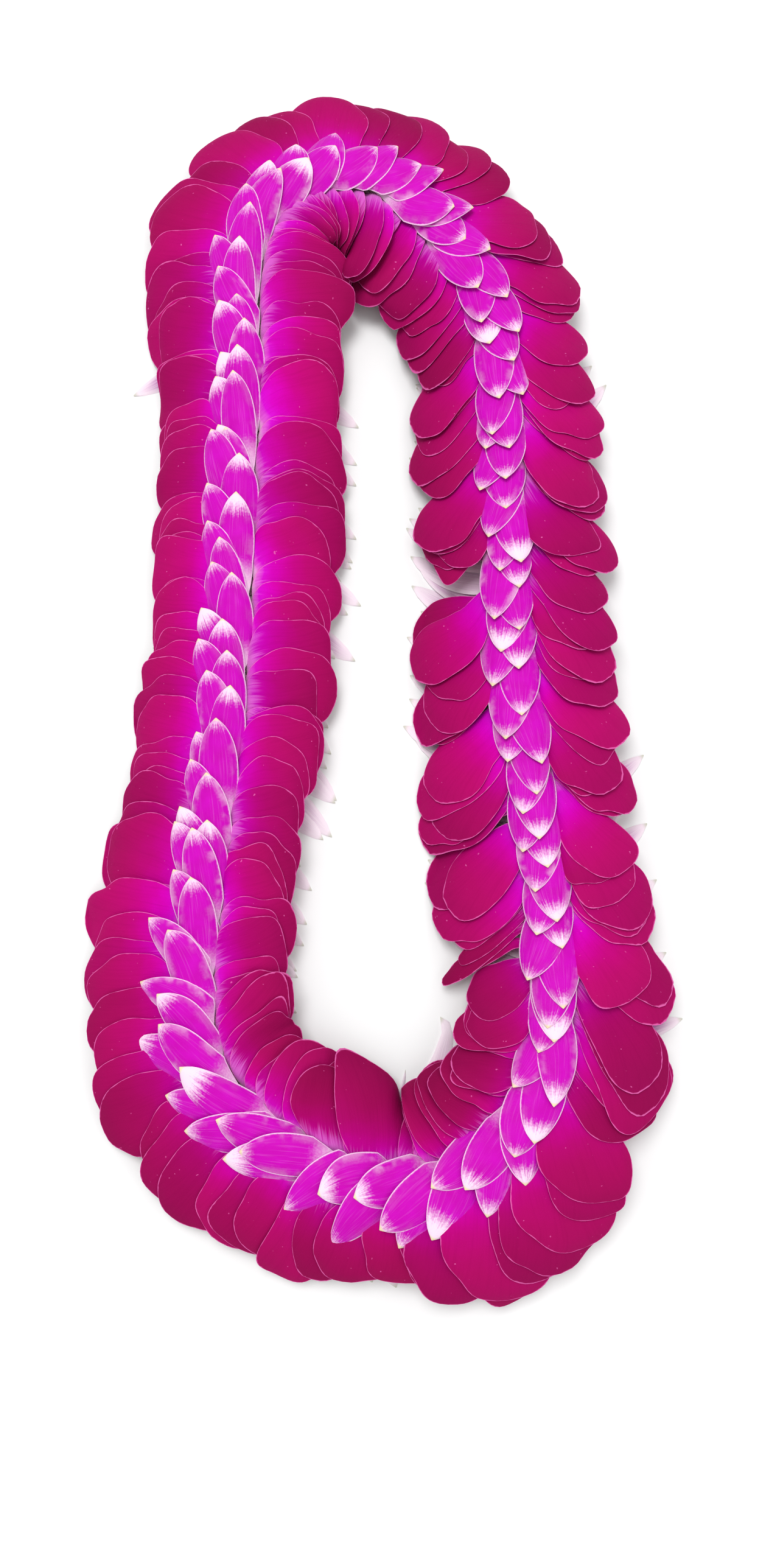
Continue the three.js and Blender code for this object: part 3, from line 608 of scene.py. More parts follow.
def dorsalSurface():
    # A blade whose half-width rises as a sine to its widest place, falls as (1 - x^b)^0.8 with the bluntness
    # b, and ends in a small point. It lies along the thread, arched as a parabola, and is raised by one step
    # for each bloom that it passes. Off the garland's line it sinks with the square of the distance.
    bloom = allBlooms[:, None, None]
    centre = bloomDistance(bloom) + dorsals["placeSpread"] * draw(bloom, "dorsalPlace")
    atCentre = placeAt(centre)
    length = dorsals["length"] * keyed(dorsals["longer"], bloom)
    length = length * (1 + dorsals["lengthSpread"] * draw(bloom, "dorsalLength"))
    fullWidth = keyed(dorsals["halfWidth"], bloom)
    byTurns = np.cos(np.pi * bloom + dorsals["turnUnrest"] * waved(bloom, dorsals["unrestPhase"]))
    stray = dorsals["turnSpread"] * draw(bloom, "dorsalTurn") + dorsals["turnEvery"] * byTurns
    turned = np.radians(atCentre["fan"] + keyed(dorsals["lean"], bloom) + stray)
    u, v = bladeGrid(dorsals["rows"], dorsals["columns"])
    u = 1 - (1 - u) ** dorsals["tipCrowding"]
    wide = dorsals["widest"]
    rising = dorsals["rootWidth"] + (1 - dorsals["rootWidth"]) * np.sin(0.5 * np.pi * ramp(u, wide))
    falling = (1 - ramp(u - wide, 1 - wide) ** keyed(dorsals["bluntness"], bloom)) ** dorsals["fallPower"]
    share = rising * falling * (1 - dorsals["point"] * bell(1 - u, dorsals["pointLength"]))
    share = share + dorsals["leastWidth"]
    width = fullWidth * (1 + dorsals["widthSpread"] * draw(bloom, "dorsalWidth")) * share
    along = length * u
    across = width * v
    slope = fullWidth * np.gradient(share, axis=0) / (length * np.gradient(u, axis=0))
    rim = (1 - np.abs(v)) * width / np.hypot(1, slope)

    slide = dorsals["slideSpread"] * draw(bloom, "dorsalSlide") * ramp(along, dorsals["slideStart"])
    forward = along * np.cos(turned) - across * np.sin(turned) + slide
    # each blade turns about a point on the thread's line, some way ahead of its root
    begun = ramp(along, dorsals["turnStart"])
    pivot = dorsals["pivot"] * begun
    drift = dorsals["drift"] * np.maximum(0, atCentre["bend"]) * (forward**2 - pivot**2)
    shift = atCentre["shift"] + dorsals["shiftSpread"] * draw(bloom, "dorsalShift")
    shift = (shift + dorsals["shiftEvery"] * byTurns) * begun
    aside = shift + (along - pivot) * np.sin(turned) + across * np.cos(turned) + drift
    ahead = alongLine(atCentre, forward, aside, dorsals["step"])
    rise = ramp(along, dorsals["riseStart"])
    up = dorsals["rootHeight"] + (dorsals["height"] - dorsals["rootHeight"]) * rise * (2 - rise)
    up = up + dorsals["step"] * ahead / pitch + dorsals["arch"] * share * (dorsals["archLevel"] - v**2)
    tip = ramp(u - dorsals["tipStart"], 1 - dorsals["tipStart"]) ** 2
    up = up + dorsals["tipBend"] * draw(bloom, "dorsalTip") * tip
    settle = np.where(aside < 0, keyed(dorsals["innerDroop"], bloom), keyed(dorsals["outerDroop"], bloom))
    settle = settle * np.minimum(aside**2, dorsals["droopReach"] ** 2) + dorsals["droop"] * aside**2
    up = up - (settle + dorsals["rimDroop"] * bell(rim, dorsals["rimDroopWidth"])) * rise
    middle = pointAt(placeAt(centre + ahead), aside, up)
    return blades(middle, dorsals["halfThickness"] * (1 - v**4), 1, u=u, v=0.5 + 0.5 * v, rim=rim,
                  tone=0.5 + 0.5 * draw(bloom, "dorsalTone"), own=0.5 + 0.5 * draw(bloom, "dorsalOwn"))


laterals = {
    "rows": 13,
    "columns": 7,
    "length": 35,
    "lengthSpread": 0.05,
    "leastLength": 0.6,  # share of the length in the tightest bend
    "roomLength": 0.5,  # how much of the room in a bend shows in the length
    "halfWidth": 5.6,
    "leastWidth": 0.03,  # share of the width
    "cup": 0.5,  # how far the edges hang below the middle
    "root": 0.6,
    "rootDepth": 1.4,
    "step": 1.0,
    "tipHeight": 0.5,
    "fallSpeed": 1.12,  # 1 to reach the tip's height just at the tip
    "tiltStart": 0.2,  # share of the length over which the tilt sets in
    "clearance": 0.05,  # over the table
    "back": 24,  # degrees that they turn back
    "turnSpread": 9,
    "hook": 5,  # how far the tips bend back besides
    "halfThickness": 0.24,
    # sepals that show beyond the petals: (first bloom, last bloom, every how many, extra length)
    "outerLonger": ((2, 16, 3, 6), (48, 49, 1, 9), (76, 78, 2, 8), (98, 104, 3, 9), (107, 109, 1, 13)),
    "innerLonger": ((0, 2, 1, 13), (24, 46, 1, 6), (84, 106, 1, 6), (118, 119, 1, 12)),
    "extraSpread": 0.8,
    "sideTone": 0.28,  # more violet on the outer side
    "toneSpread": 0.2,
}


def lateralSurface(side):
    # A blade whose half-width is a sine bent toward its root, sin(pi u^0.95)^0.62 (1 - 0.12 u). It falls as
    # a quarter of a sine from the centre to the table and turns back a little.
    bloom = allBlooms[:, None, None]
    inner = int(side < 0)
    centre = bloomDistance(bloom)
    atCentre = placeAt(centre)
    turned = np.radians(laterals["turnSpread"] * draw(bloom, "lateralTurn", inner) - laterals["back"])
    room = np.maximum(garland["leastStretch"], 1 + atCentre["bend"] * side * laterals["length"])
    length = laterals["length"] * np.minimum(1, laterals["leastLength"] + laterals["roomLength"] * room)
    length = length * (1 + laterals["lengthSpread"] * draw(bloom, "lateralLength", inner))
    extra = np.zeros(bloom.shape)
    for first, last, every, more in laterals[sideWord(side) + "Longer"]:
        chosen = (bloom >= first) & (bloom <= last) & ((bloom - first) % every == 0)
        extra = np.where(chosen, more, extra)
    length = length + extra * (1 + laterals["extraSpread"] * draw(bloom, "lateralExtra", inner))
    u, v = bladeGrid(laterals["rows"], laterals["columns"])
    share = np.sin(np.pi * u**0.95) ** 0.62 * (1 - 0.12 * u) + laterals["leastWidth"]
    along = length * u
    across = laterals["halfWidth"] * share * v
    rim = (1 - np.abs(v)) * laterals["halfWidth"] * share
    forward = along * np.sin(turned) + across * np.cos(turned) - laterals["hook"] * u**3
    out = laterals["root"] + along * np.cos(turned) - across * np.sin(turned)
    ahead = alongLine(atCentre, forward, side * out, laterals["step"])
    fullFall = garland["threadHeight"] - laterals["rootDepth"] - laterals["tipHeight"]
    fall = fullFall * np.sin(0.5 * np.pi * np.clip(laterals["fallSpeed"] * u, 0, 1))
    tilt = laterals["step"] * across / pitch * ramp(u, laterals["tiltStart"])
    fall = fall - tilt + laterals["cup"] * share * v**2
    middle = pointAt(placeAt(centre + ahead), side * out, -laterals["rootDepth"] - fall, rolls=False)
    half = laterals["halfThickness"] * (1 - v**4)
    middle[..., 2] = np.maximum(middle[..., 2], half + laterals["clearance"])
    tone = 0.5 + laterals["sideTone"] * side + laterals["toneSpread"] * draw(bloom, "lateralTone", inner)
    return blades(middle, half, -side, u=u, v=0.5 + 0.5 * v, rim=rim, tone=tone,
                  own=0.5 + 0.5 * draw(bloom, "lateralOwn", inner))


centres = {
    "rings": 9,
    "sides": 14,
    "halfWidth": 2.9,
    "top": 1.9,
    "bottom": -2.8,
    "endSize": 0.55,
    "lobes": 3,
    "lobeHeight": 0.05,
    "lengthShare": 1.12,  # of the pitch, so that neighbours touch
    "farFromRim": 3.0,
}


def centreShape(blooms):
    # Barrels along the thread: an oval ring whose size is 0.55 + 0.45 sin(pi a)^0.6 and three low lobes,
    # closed at both ends.
    bloom = blooms[:, None, None]
    a = np.linspace(0, 1, centres["rings"])[None, :, None]
    turn = np.linspace(0, 2 * np.pi, centres["sides"], endpoint=False)[None, None, :]
    size = centres["endSize"] + (1 - centres["endSize"]) * np.sin(np.pi * a) ** 0.6
    size = size + centres["lobeHeight"] * np.cos(centres["lobes"] * turn + 5 * draw(bloom, "centreLobes"))
    distance = bloomDistance(bloom) + (a - 0.5) * centres["lengthShare"] * pitch
    middleHeight = 0.5 * (centres["top"] + centres["bottom"])
    up = middleHeight + 0.5 * (centres["top"] - centres["bottom"]) * size * np.sin(turn)
    rings = pointAt(placeAt(distance), centres["halfWidth"] * size * np.cos(turn), up)
    return closedTubes(rings, {"u": a, "v": turn / (2 * np.pi), "rim": centres["farFromRim"],
                               "tone": 0.5 + 0.5 * draw(bloom, "centreTone"), "own": 0.5})


stalks = {
    "standingBloom": 3,  # the bloom of each run whose stalk stub stands on the table
    "standingLean": 3.5,
    "rootDepth": 1.6,  # below the thread
    "length": 6,
    "lengthSpread": 1.2,
    "lean": 3.2,
    "asideSpread": 1.4,
    "radius": 1.7,
    "taper": 0.18,
    "endRadius": 0.86,  # share of the radius at the rounded end
    "rings": (0, 0.25, 0.5, 0.8, 0.97, 1.0),  # shares of the length
    "sides": 10,
}


def stalkShape(blooms):
    # Tapered stubs of the flower stalks, each ring round a line that leaves the centre's underside and leans
    # back: evenly where the stub stands on the table, else with the power 1.5 of the way down.
    bloom = blooms[:, None, None]
    standing = bloom % garland["bloomsPerRun"] == stalks["standingBloom"]
    top = garland["threadHeight"] - stalks["rootDepth"]
    down = np.where(standing, top, stalks["length"] + stalks["lengthSpread"] * draw(bloom, "stalkLength"))
    a = np.array(stalks["rings"])[None, :, None]
    turn = np.linspace(0, 2 * np.pi, stalks["sides"], endpoint=False)[None, None, :]
    radius = stalks["radius"] * (1 - stalks["taper"] * a) * np.where(a >= 1, stalks["endRadius"], 1)
    lean = np.where(standing, stalks["standingLean"] * a, stalks["lean"] * a**1.5)
    aside = np.where(standing, 0, stalks["asideSpread"] * draw(bloom, "stalkAside") * a)
    place = placeAt(bloomDistance(bloom) - lean)
    out = aside + radius * np.cos(turn)
    ahead = radius * np.sin(turn)
    x = place["x"] + place["outX"] * out + place["outY"] * ahead
    y = place["y"] + place["outY"] * out - place["outX"] * ahead
    rings = np.stack(np.broadcast_arrays(x, y, top - down * a), axis=-1)[:, :, ::-1]
    return closedTubes(rings, {"u": a, "v": turn / (2 * np.pi), "rim": centres["farFromRim"],
                               "tone": 0.5 + 0.5 * draw(bloom, "stalkTone"), "own": 1.0})


thread = {
    "strands": 3,
    "strandHeight": 0.12,
    # radius, points round the section, length of one twist
    "loop": (0.55, 12, 4.5),
    "knot": (0.5, 10, 2.5),
    "tail": (0.45, 10, 2.5),
    "loopRings": 1500,
    "knotRings": 90,
    "tailRings": 18,
    "knotRadius": 1.35,
    "tailLength": 7,
    "tailRoot": (0.6, 0.4),  # aside of the knot's middle and below it
    "tailSpread": 1.2,
    "tailSway": 0.5,
}


def tubeAlongPath(path, radius, sides, twistLength, closed):
    # A round section carried along a path. Its radius is waved by the strands, which turn once in each twist
    # length, with a whole number of twists.
    ahead = np.roll(path, -1, axis=0) - np.roll(path, 1, axis=0) if closed else np.gradient(path, axis=0)
    ahead = ahead / np.linalg.norm(ahead, axis=1, keepdims=True)
    aside = np.cross((0.06, 0.03, 1.0), ahead)  # nearly upward, and along no stretch of any path
    aside = aside / np.linalg.norm(aside, axis=1, keepdims=True)
    above = np.cross(ahead, aside)
    gone = np.concatenate([[0], np.cumsum(np.linalg.norm(np.diff(path, axis=0), axis=1))])[:, None]
    turns = round(gone[-1, 0] / twistLength) / gone[-1, 0]
    turn = np.linspace(0, 2 * np.pi, sides, endpoint=False)[None, :]
    wave = 1 + thread["strandHeight"] * np.cos(thread["strands"] * (turn - 2 * np.pi * turns * gone))
    section = np.cos(turn)[..., None] * aside[:, None] + np.sin(turn)[..., None] * above[:, None]
    rings = path[:, None] + (radius * wave)[..., None] * section
    # the wave also goes to the material as rim, which paints shade into the grooves
    values = {"u": gone, "v": turn / (2 * np.pi), "rim": wave, "tone": 0.5, "own": 0.5}
    values = {name: np.broadcast_to(value, rings.shape[:2]) for name, value in values.items()}
    if not closed:
        return closedTubes(rings[None], {name: value[None] for name, value in values.items()})
    ids = np.arange(len(path) * sides).reshape(len(path), sides)
    nextRing = np.roll(ids, -1, axis=0)
    quads = np.stack([ids, np.roll(ids, -1, axis=1), np.roll(nextRing, -1, axis=1), nextRing], axis=-1)
    return {"points": rings.reshape(-1, 3), "faces": [quads.reshape(-1, 4)],
            "values": {name: value.ravel() for name, value in values.items()},
            "border": np.zeros(ids.size, bool)}


def threadShape():
    # The loop through all centres, a trefoil knot and two tails. The trefoil is (sin t + 2 sin 2t, cos t -
    # 2 cos 2t, -1.6 sin 3t) aside, above and ahead. Each tail hangs down, bends aside with the power 1.5 of
    # the way and sways as a sine.
    distance = np.linspace(0, routeTotal, thread["loopRings"], endpoint=False)
    parts = [tubeAlongPath(pointAt(placeAt(distance), 0.0, 0.0), *thread["loop"], closed=True)]
    knot = placeAt(0.0)
    ahead = np.array([knot["outY"], -knot["outX"], 0.0])
    aside = np.array([knot["outX"], knot["outY"], 0.0])
    above = np.array([0.0, 0.0, 1.0])
    middle = pointAt(knot, 0.0, 0.0)
    t = np.linspace(0, 2 * np.pi, thread["knotRings"], endpoint=False)[:, None]
    trefoil = (np.sin(t) + 2 * np.sin(2 * t)) * aside + (np.cos(t) - 2 * np.cos(2 * t)) * above
    trefoil = middle + thread["knotRadius"] / 3 * (trefoil - 1.6 * np.sin(3 * t) * ahead)
    parts.append(tubeAlongPath(trefoil, *thread["knot"], closed=True))
    a = np.linspace(0, 1, thread["tailRings"])[:, None]
    beside, below = thread["tailRoot"]
    for side in (-1, 1):
        tail = middle + side * (beside + thread["tailSpread"] * a**1.5) * aside
        tail = tail - (below + (thread["tailLength"] - below) * a) * above
        tail = tail + thread["tailSway"] * np.sin(3 * a + side) * ahead
        parts.append(tubeAlongPath(tail, *thread["tail"], closed=False))
    return joined(parts, (0, 0, 0, 0))


def linear(colour):
    # Screen colour in 0 to 255 to scene colour, by the usual power law.
    share = np.array(colour, float) / 255
    share = np.where(share <= 0.04045, share / 12.92, ((share + 0.055) / 1.055) ** 2.4)
    return (*share.tolist(), 1.0)


def add(tree, kind, inputs=None, **settings):
    # A node with its settings and inputs. An input that is a socket is linked, and any other is set.
    node = tree.nodes.new(kind)
    for name, value in settings.items():
        setattr(node, name, value)
    for key, value in (inputs or {}).items():
        if isinstance(value, bpy.types.NodeSocket):
            tree.links.new(value, node.inputs[key])
        else:
            node.inputs[key].default_value = value
    return node


def maths(tree, operation, *values):
    return add(tree, "ShaderNodeMath", dict(enumerate(values)), operation=operation).outputs[0]


def scaled(tree, value, factor):
    return maths(tree, "MULTIPLY", value, factor)


def total(tree, first, *others):
    for other in others:
        first = maths(tree, "ADD", first, other)
    return first


def noise(tree, vector, scale, detail=2):
    inputs = {"Vector": vector, "Scale": scale, "Detail": detail}
    return add(tree, "ShaderNodeTexNoise", inputs).outputs["Fac"]


def sway(tree, pattern, amount):
    # A noise pattern about zero: (pattern - 0.5) × amount.
    return scaled(tree, maths(tree, "SUBTRACT", pattern, 0.5), amount)


def between(tree, value, low, high, toLow=0.0, toHigh=1.0):
    # A smooth step from one value to another.
    inputs = {"Value": value, "From Min": low, "From Max": high, "To Min": toLow, "To Max": toHigh}
    return add(tree, "ShaderNodeMapRange", inputs, interpolation_type="SMOOTHSTEP").outputs["Result"]


def mixed(tree, share, first, second, blend="MIX"):
    # Two colours mixed. Each is a socket or a screen colour in 0 to 255.
    first, second = (colour if isinstance(colour, bpy.types.NodeSocket) else linear(colour)
                     for colour in (first, second))
    node = add(tree, "ShaderNodeMix", {0: share, 6: first, 7: second}, data_type="RGBA", blend_type=blend)
    return node.outputs[2]


def ramped(tree, value, stops):
    node = add(tree, "ShaderNodeValToRGB", {"Fac": value})
    elements = node.color_ramp.elements
    while len(elements) < len(stops):
        elements.new(1.0)
    for element, (place, colour) in zip(elements, stops):
        element.position = place
        element.color = linear(colour)
    return node.outputs["Color"]


grain = {
    "cellScale": 2600,
    "cellRange": (0.3, 0.7),
    "cellShare": 0.35,  # of the bump, beside the veins
    "roughnessSpread": 0.08,
    "bumpDepth": 0.00025,
    "sheenRoughness": 0.45,
    "ownVeins": 60,  # how far apart the vein patterns of single blades lie
}


def makeMaterial(name, finish, colourOf):
    # The colour comes from the finish's own function. Roughness and bump come from fine cells on the
    # object's own coordinates and from the veins.
    material = bpy.data.materials.new(name)
    material.use_nodes = True
    tree = material.node_tree
    tree.nodes.clear()
    bladeMap = add(tree, "ShaderNodeUVMap", uv_map="blade").outputs["UV"]
    split = add(tree, "ShaderNodeSeparateXYZ", {"Vector": bladeMap})
    value = {key: add(tree, "ShaderNodeAttribute", attribute_name=key).outputs["Fac"]
             for key in ("rim", "tone", "own")}
    value["u"] = split.outputs["X"]
    value["object"] = add(tree, "ShaderNodeTexCoord").outputs["Object"]
    # veins run from root to tip: the pattern is stretched along u, and each blade has its own
    value["veins"] = add(tree, "ShaderNodeCombineXYZ", {
        "X": scaled(tree, value["u"], finish["veinLength"]),
        "Y": scaled(tree, split.outputs["Y"], finish["veinCount"]),
        "Z": scaled(tree, value["own"], grain["ownVeins"]),
    }).outputs["Vector"]
    cells = noise(tree, value["object"], grain["cellScale"])
    least = finish["roughness"] - grain["roughnessSpread"]
    most = finish["roughness"] + grain["roughnessSpread"]
    roughness = between(tree, cells, *grain["cellRange"], least, most)
    height = total(tree, scaled(tree, cells, grain["cellShare"]), noise(tree, value["veins"], 1))
    bump = {"Height": height, "Strength": finish["bump"], "Distance": grain["bumpDepth"]}
    shader = add(tree, "ShaderNodeBsdfPrincipled", {
        "Base Color": colourOf(tree, value),
        "Roughness": roughness,
        "Specular IOR Level": finish["gloss"],
        "Sheen Weight": finish["sheen"],
        "Sheen Roughness": grain["sheenRoughness"],
        "Sheen Tint": linear(finish["sheenColour"]),
        "Normal": add(tree, "ShaderNodeBump", bump).outputs["Normal"],
    })
    add(tree, "ShaderNodeOutputMaterial", {"Surface": shader.outputs["BSDF"]})
    return material


# In all finishes a range holds the low and the high end of a value, and what the two ends give.
petalFinish = {
    # from the claw to the rim; the darker far end is partly the petals' own maroon and partly painted shade
    # where the petals curve down away from the light
    "violet": [(0.0, (240, 204, 226)), (0.08, (222, 100, 210)), (0.17, (208, 14, 202)), (0.27, (204, 0, 180)),
               (0.38, (198, 0, 154)), (0.48, (190, 2, 130)), (0.6, (183, 6, 112)), (0.78, (176, 10, 100)),
               (1.0, (168, 12, 94))],
    "crimson": [(0.0, (236, 194, 216)), (0.07, (212, 70, 198)), (0.15, (200, 4, 168)), (0.25, (186, 0, 128)),
                (0.37, (175, 4, 105)), (0.5, (165, 8, 90)), (0.7, (156, 10, 80)), (1.0, (146, 12, 74))],
    "patchScale": 90,
    "patchSway": 0.22,
    "veinColour": (130, 0, 70),
    "veinRange": (0.42, 0.75, 0, 0.12),
    "streak": (240, 130, 228),
    "streakSway": 0.5,
    "streakSpread": 0.22,
    "streakRange": (0.1, 0.32, 0.6, 0.0),
    "shadeRange": (0, 1, 0.86, 1.08),
    "speckScale": 720,
    "speckRange": (0.765, 0.8, 0.0, 0.5),
    # pale pink for the rim, partly painted light through the thin edge, and for the specks
    "rimColour": (240, 112, 190),
    "rimWidth": 0.3,  # millimetres
    "rimScale": 260,
    "rimWidthRange": (0.35, 0.65, 0.35, 1.2),
    "rimRange": (0.35, 1.0, 0.7, 0.0),
    "roughness": 0.65,
    "gloss": 0.03,
    "sheen": 0.06,
    "sheenColour": (255, 40, 190),
    "bump": 0.35,
    "veinLength": 2.2,
    "veinCount": 42,
}


def petalColour(tree, value):
    # From the claw to the rim through the violet or the crimson row, whose darker far end is partly painted
    # shade where the petals curve down, with dark veins and brighter and darker blades.
    finish = petalFinish
    patches = noise(tree, value["object"], finish["patchScale"], 3)
    u = total(tree, value["u"], sway(tree, patches, finish["patchSway"]))
    colour = mixed(tree, value["tone"], ramped(tree, u, finish["violet"]), ramped(tree, u, finish["crimson"]))
    veins = noise(tree, value["veins"], 1, 3)
    colour = mixed(tree, between(tree, veins, *finish["veinRange"]), colour, finish["veinColour"])
    # pale streaks fan out of the claw, long on some petals
    streak = total(tree, value["u"], sway(tree, veins, finish["streakSway"]),
                   scaled(tree, value["own"], finish["streakSpread"]))
    colour = mixed(tree, between(tree, streak, *finish["streakRange"]), colour, finish["streak"])
    shade = between(tree, value["own"], *finish["shadeRange"])
    grey = add(tree, "ShaderNodeCombineColor", {0: shade, 1: shade, 2: shade}).outputs[0]
    colour = mixed(tree, 1.0, colour, grey, "MULTIPLY")
    specks = noise(tree, value["object"], finish["speckScale"], 1)
    colour = mixed(tree, between(tree, specks, *finish["speckRange"]), colour, finish["rimColour"])
    # a thin pale rim of uneven width: partly the petal's own pale edge and partly painted light shining
    # through the thin edge
    rimNoise = noise(tree, value["object"], finish["rimScale"])
    rimWidth = scaled(tree, between(tree, rimNoise, *finish["rimWidthRange"]), finish["rimWidth"])
    rim = between(tree, maths(tree, "DIVIDE", value["rim"], rimWidth), *finish["rimRange"])
    return mixed(tree, rim, colour, finish["rimColour"])


dorsalFinish = {
    "body": (213, 8, 200),
    "deep": (192, 0, 162),
    "patchScale": 160,
    "veinColour": (236, 130, 226),
    "veinRange": (0.5, 0.75, 0, 0.16),
    "pale": (255, 226, 248),
    "fineScale": 1300,
    "wobble": 1.5,
    "marginWidth": 0.5,
    "marginWobble": 0.5,
    "marginRange": (0.3, 1.1, 0.7, 0.0),
    "endWobble": 0.08,  # of the tip's and the root's pale parts
    "tipVeins": 0.22,
    "tipSpread": 0.15,
    "tipRange": (0.86, 1.03),
    "rootRange": (0.08, 0.4, 0.9, 0.0),
    "flushRange": (0.0, 3.4, 0.45, 0.0),
    "flushPatches": (0.42, 0.62),
    "flushBlades": (0.3, 1.0, 0.1, 1.0),
    "cream": (240, 232, 170),
    "creamRange": (0.955, 0.985, 0, 0.85),
    "roughness": 0.55,
    "gloss": 0.08,
    "sheen": 0.1,
    "sheenColour": (255, 90, 230),
    "bump": 0.3,
    "veinLength": 3.0,
    "veinCount": 26,
}


def dorsalColour(tree, value):
    # Violet with paler veins, white along the margin, at the tip and at the root, and a cream point.
    finish = dorsalFinish
    broad = noise(tree, value["object"], finish["patchScale"])
    veins = noise(tree, value["veins"], 1, 3)
    colour = mixed(tree, broad, finish["body"], finish["deep"])
    colour = mixed(tree, between(tree, veins, *finish["veinRange"]), colour, finish["veinColour"])
    # pale where the edge, the tip or the root is near, with a speckled border
    wobble = sway(tree, noise(tree, value["object"], finish["fineScale"]), finish["wobble"])
    fromEdge = total(tree, maths(tree, "DIVIDE", value["rim"], finish["marginWidth"]),
                     scaled(tree, wobble, finish["marginWobble"]))
    edge = between(tree, fromEdge, *finish["marginRange"])
    # the white of the tip runs back along the veins, far on some blades
    place = total(tree, value["u"], scaled(tree, wobble, finish["endWobble"]))
    root = between(tree, place, *finish["rootRange"])
    tipPlace = total(tree, place, sway(tree, veins, finish["tipVeins"]),
                     scaled(tree, maths(tree, "POWER", value["tone"], 4.0), finish["tipSpread"]))
    tip = between(tree, tipPlace, *finish["tipRange"])
    # a soft flush inside the margins, patchy, stronger on some blades
    flush = scaled(tree, between(tree, total(tree, value["rim"], wobble), *finish["flushRange"]),
                   between(tree, broad, *finish["flushPatches"]))
    flush = scaled(tree, flush, between(tree, value["own"], *finish["flushBlades"]))
    pale = maths(tree, "MAXIMUM", maths(tree, "MAXIMUM", edge, tip), maths(tree, "MAXIMUM", root, flush))
    colour = mixed(tree, pale, colour, finish["pale"])
    return mixed(tree, between(tree, value["u"], *finish["creamRange"]), colour, finish["cream"])


lateralFinish = {
    "pale": (250, 234, 244),
    "violet": (176, 20, 166),
    "violetRange": (0.3, 2.4, 0.25, 1.0),  # millimetres from the rim
    "fadeRange": (0.7, 0.96, 1.0, 0.12),
    "toneRange": (0.1, 0.8, 0.3, 1.0),
    "veinRange": (0.3, 0.6, 0.4, 1.0),
    "green": (170, 186, 140),
    "greenRange": (0.95, 1.0, 0, 0.6),
    "roughness": 0.5,
    "gloss": 0.35,
    "sheen": 0.15,
    "sheenColour": (255, 225, 250),
    "bump": 0.3,
    "veinLength": 2.5,
    "veinCount": 22,
}


def lateralColour(tree, value):
    # Violet in the middle, fading to the rim and to the tip, which is a little green.
    finish = lateralFinish
    fade = scaled(tree, between(tree, value["u"], *finish["fadeRange"]),
                  between(tree, value["tone"], *finish["toneRange"]))
    share = scaled(tree, between(tree, value["rim"], *finish["violetRange"]), fade)
    share = scaled(tree, share, between(tree, noise(tree, value["veins"], 1, 3), *finish["veinRange"]))
    colour = mixed(tree, share, finish["pale"], finish["violet"])
    return mixed(tree, between(tree, value["u"], *finish["greenRange"]), colour, finish["green"])


centreFinish = {
    "light": (226, 226, 176),
    "green": (168, 176, 96),
    "patchScale": 320,
    "patchRange": (0.35, 0.65),
    "violet": (176, 60, 150),
    "violetRange": (0.6, 1.0, 0.0, 0.55),
    "roughness": 0.42,
    "gloss": 0.45,
    "sheen": 0.0,
    "sheenColour": (255, 255, 255),
    "bump": 0.25,
    "veinLength": 4,
    "veinCount": 12,
}


def centreColour(tree, value):
    # Greenish patches, with violet on the stalk stubs.
    finish = centreFinish
    broad = noise(tree, value["object"], finish["patchScale"], 3)
    colour = mixed(tree, between(tree, broad, *finish["patchRange"]), finish["light"], finish["green"])
    return mixed(tree, between(tree, value["own"], *finish["violetRange"]), colour, finish["violet"])


threadFinish = {
    "light": (244, 241, 230),
    # the dark colour is painted shade for the grooves between the strands
    "dark": (196, 188, 168),
    "grooveShadeRange": (0.9, 1.08),
    "roughness": 0.85,
    "gloss": 0.2,
    "sheen": 0.3,
    "sheenColour": (255, 255, 255),
    "bump": 0.5,
    "veinLength": 6,
    "veinCount": 6,
}


def threadColour(tree, value):
    # Painted shade: darker in the grooves between the strands, where the hollows of the twist lie in shade.
    outOfGrooveShade = between(tree, value["rim"], *threadFinish["grooveShadeRange"])
    return mixed(tree, outOfGrooveShade, threadFinish["dark"], threadFinish["light"])


petalLook = makeMaterial("velvet petal", petalFinish, petalColour)
dorsalLook = makeMaterial("dorsal sepal", dorsalFinish, dorsalColour)
lateralLook = makeMaterial("lateral sepal", lateralFinish, lateralColour)
centreLook = makeMaterial("fleshy centre", centreFinish, centreColour)
threadLook = makeMaterial("cotton thread", threadFinish, threadColour)
print("materials made")

outerPetals = petalSurface(1)
innerPetals = petalSurface(-1)
sepalSurfaces = (dorsalSurface(), lateralSurface(1), lateralSurface(-1))
perRun = garland["bloomsPerRun"]
for run in range(garland["bloomCount"] // perRun):
    first = run * perRun
    number = f"{run + 1:02d}"
    makePiece(f"outerPetals{number}", partOf(outerPetals, first, perRun), [petalLook],
              [f"blooms_{number}_outer_petals"])
    makePiece(f"innerPetals{number}", partOf(innerPetals, first, perRun), [petalLook],
              [f"blooms_{number}_inner_petals"])
    sepals = joined([partOf(surface, first, perRun) for surface in sepalSurfaces], (0, 1, 1))
    makePiece(f"sepals{number}", sepals, [dorsalLook, lateralLook], [f"blooms_{number}_sepals"])
    blooms = allBlooms[first:first + perRun]
    makePiece(f"centres{number}", joined([centreShape(blooms), stalkShape(blooms)], (0, 0)), [centreLook],
              [f"blooms_{number}_sepals"])
makePiece("knottedThread", threadShape(), [threadLook], ["thread"])
print("blooms and thread made")

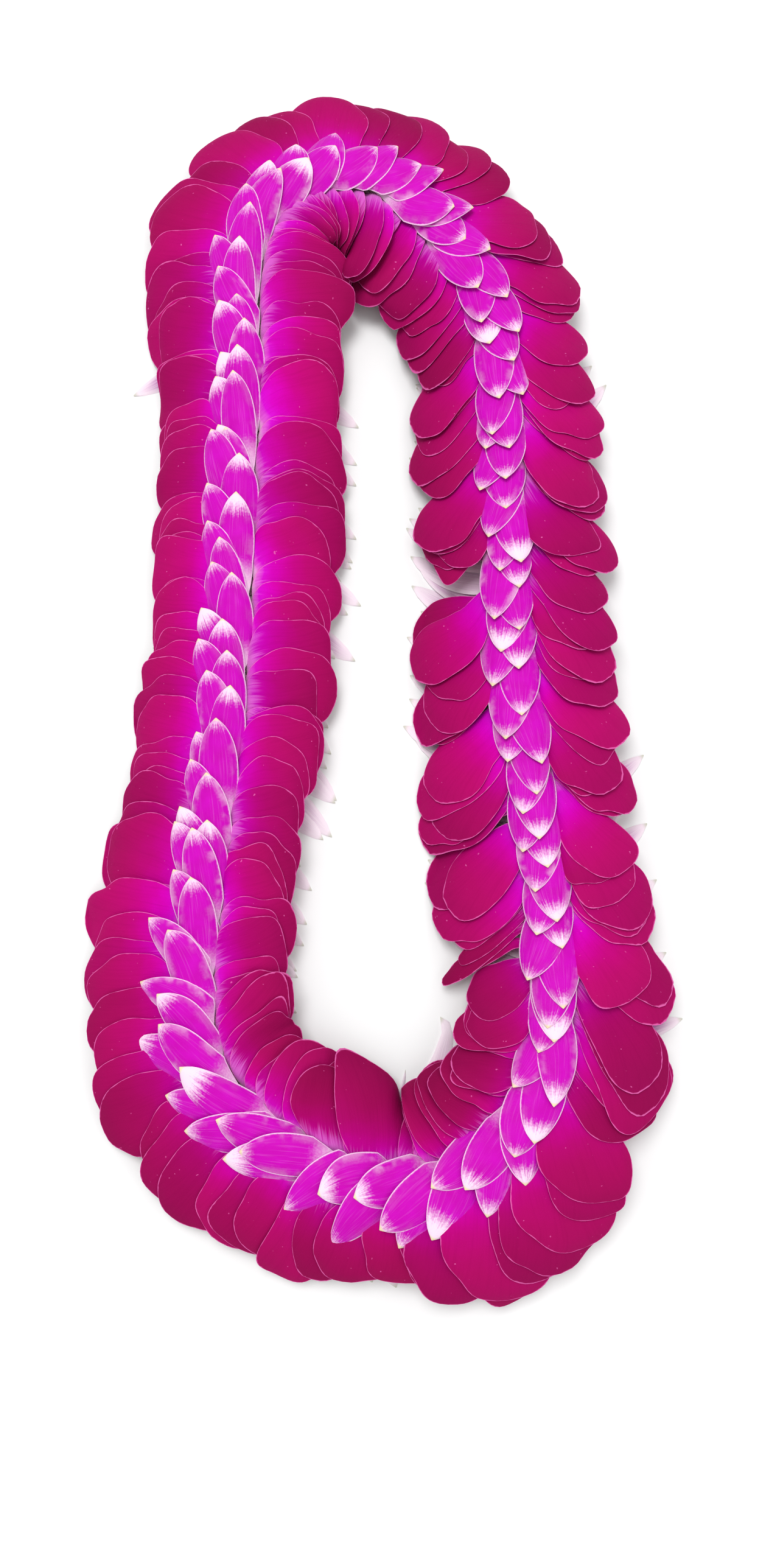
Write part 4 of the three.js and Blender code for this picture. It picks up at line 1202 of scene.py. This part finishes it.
studio = {
    "floorSize": 6.0,
    "floorColour": (250, 250, 250),
    "floorRoughness": 0.6,
    "floorGloss": 0.2,
    "skyStrength": 0.66,
    "cameraPlace": (0.00355, -0.1219, 0.4372),
    "cameraTilt": 9.55,
    "lens": 27.37,
    "sensorWidth": 36,
    # name, place, size, power
    "lights": (("lamp", (-0.3, 0.5, 2.0), 1.0, 23), ("fill", (0.9, -0.7, 1.4), 1.6, 4)),
}


def makeStudio():
    mesh = bpy.data.meshes.new("table")
    half = studio["floorSize"] / 2
    corners = [(-half, -half, 0), (half, -half, 0), (half, half, 0), (-half, half, 0)]
    mesh.from_pydata(corners, [], [(0, 1, 2, 3)])
    table = bpy.data.objects.new("table", mesh)
    bpy.context.scene.collection.objects.link(table)
    material = bpy.data.materials.new("white table")
    material.use_nodes = True
    shader = material.node_tree.nodes["Principled BSDF"]
    shader.inputs["Base Color"].default_value = linear(studio["floorColour"])
    shader.inputs["Roughness"].default_value = studio["floorRoughness"]
    shader.inputs["Specular IOR Level"].default_value = studio["floorGloss"]
    mesh.materials.append(material)

    world = bpy.data.worlds.new("studio")
    world.use_nodes = True
    world.node_tree.nodes["Background"].inputs["Color"].default_value = (1, 1, 1, 1)
    world.node_tree.nodes["Background"].inputs["Strength"].default_value = studio["skyStrength"]
    bpy.context.scene.world = world
    bpy.context.scene.view_settings.view_transform = "Standard"

    for name, place, size, power in studio["lights"]:
        lamp = bpy.data.lights.new(name, "AREA")
        lamp.size = size
        lamp.energy = power
        holder = bpy.data.objects.new(name, lamp)
        holder.location = place
        holder.rotation_euler = (-Vector(place)).to_track_quat("-Z", "Y").to_euler()
        bpy.context.scene.collection.objects.link(holder)

    lens = bpy.data.cameras.new("camera")
    lens.lens = studio["lens"]
    lens.sensor_fit = "AUTO"
    lens.sensor_width = studio["sensorWidth"]
    camera = bpy.data.objects.new("camera", lens)
    camera.location = studio["cameraPlace"]
    camera.rotation_euler = (np.radians(studio["cameraTilt"]), 0, 0)
    bpy.context.scene.collection.objects.link(camera)
    bpy.context.scene.camera = camera


makeStudio()
print("studio made")
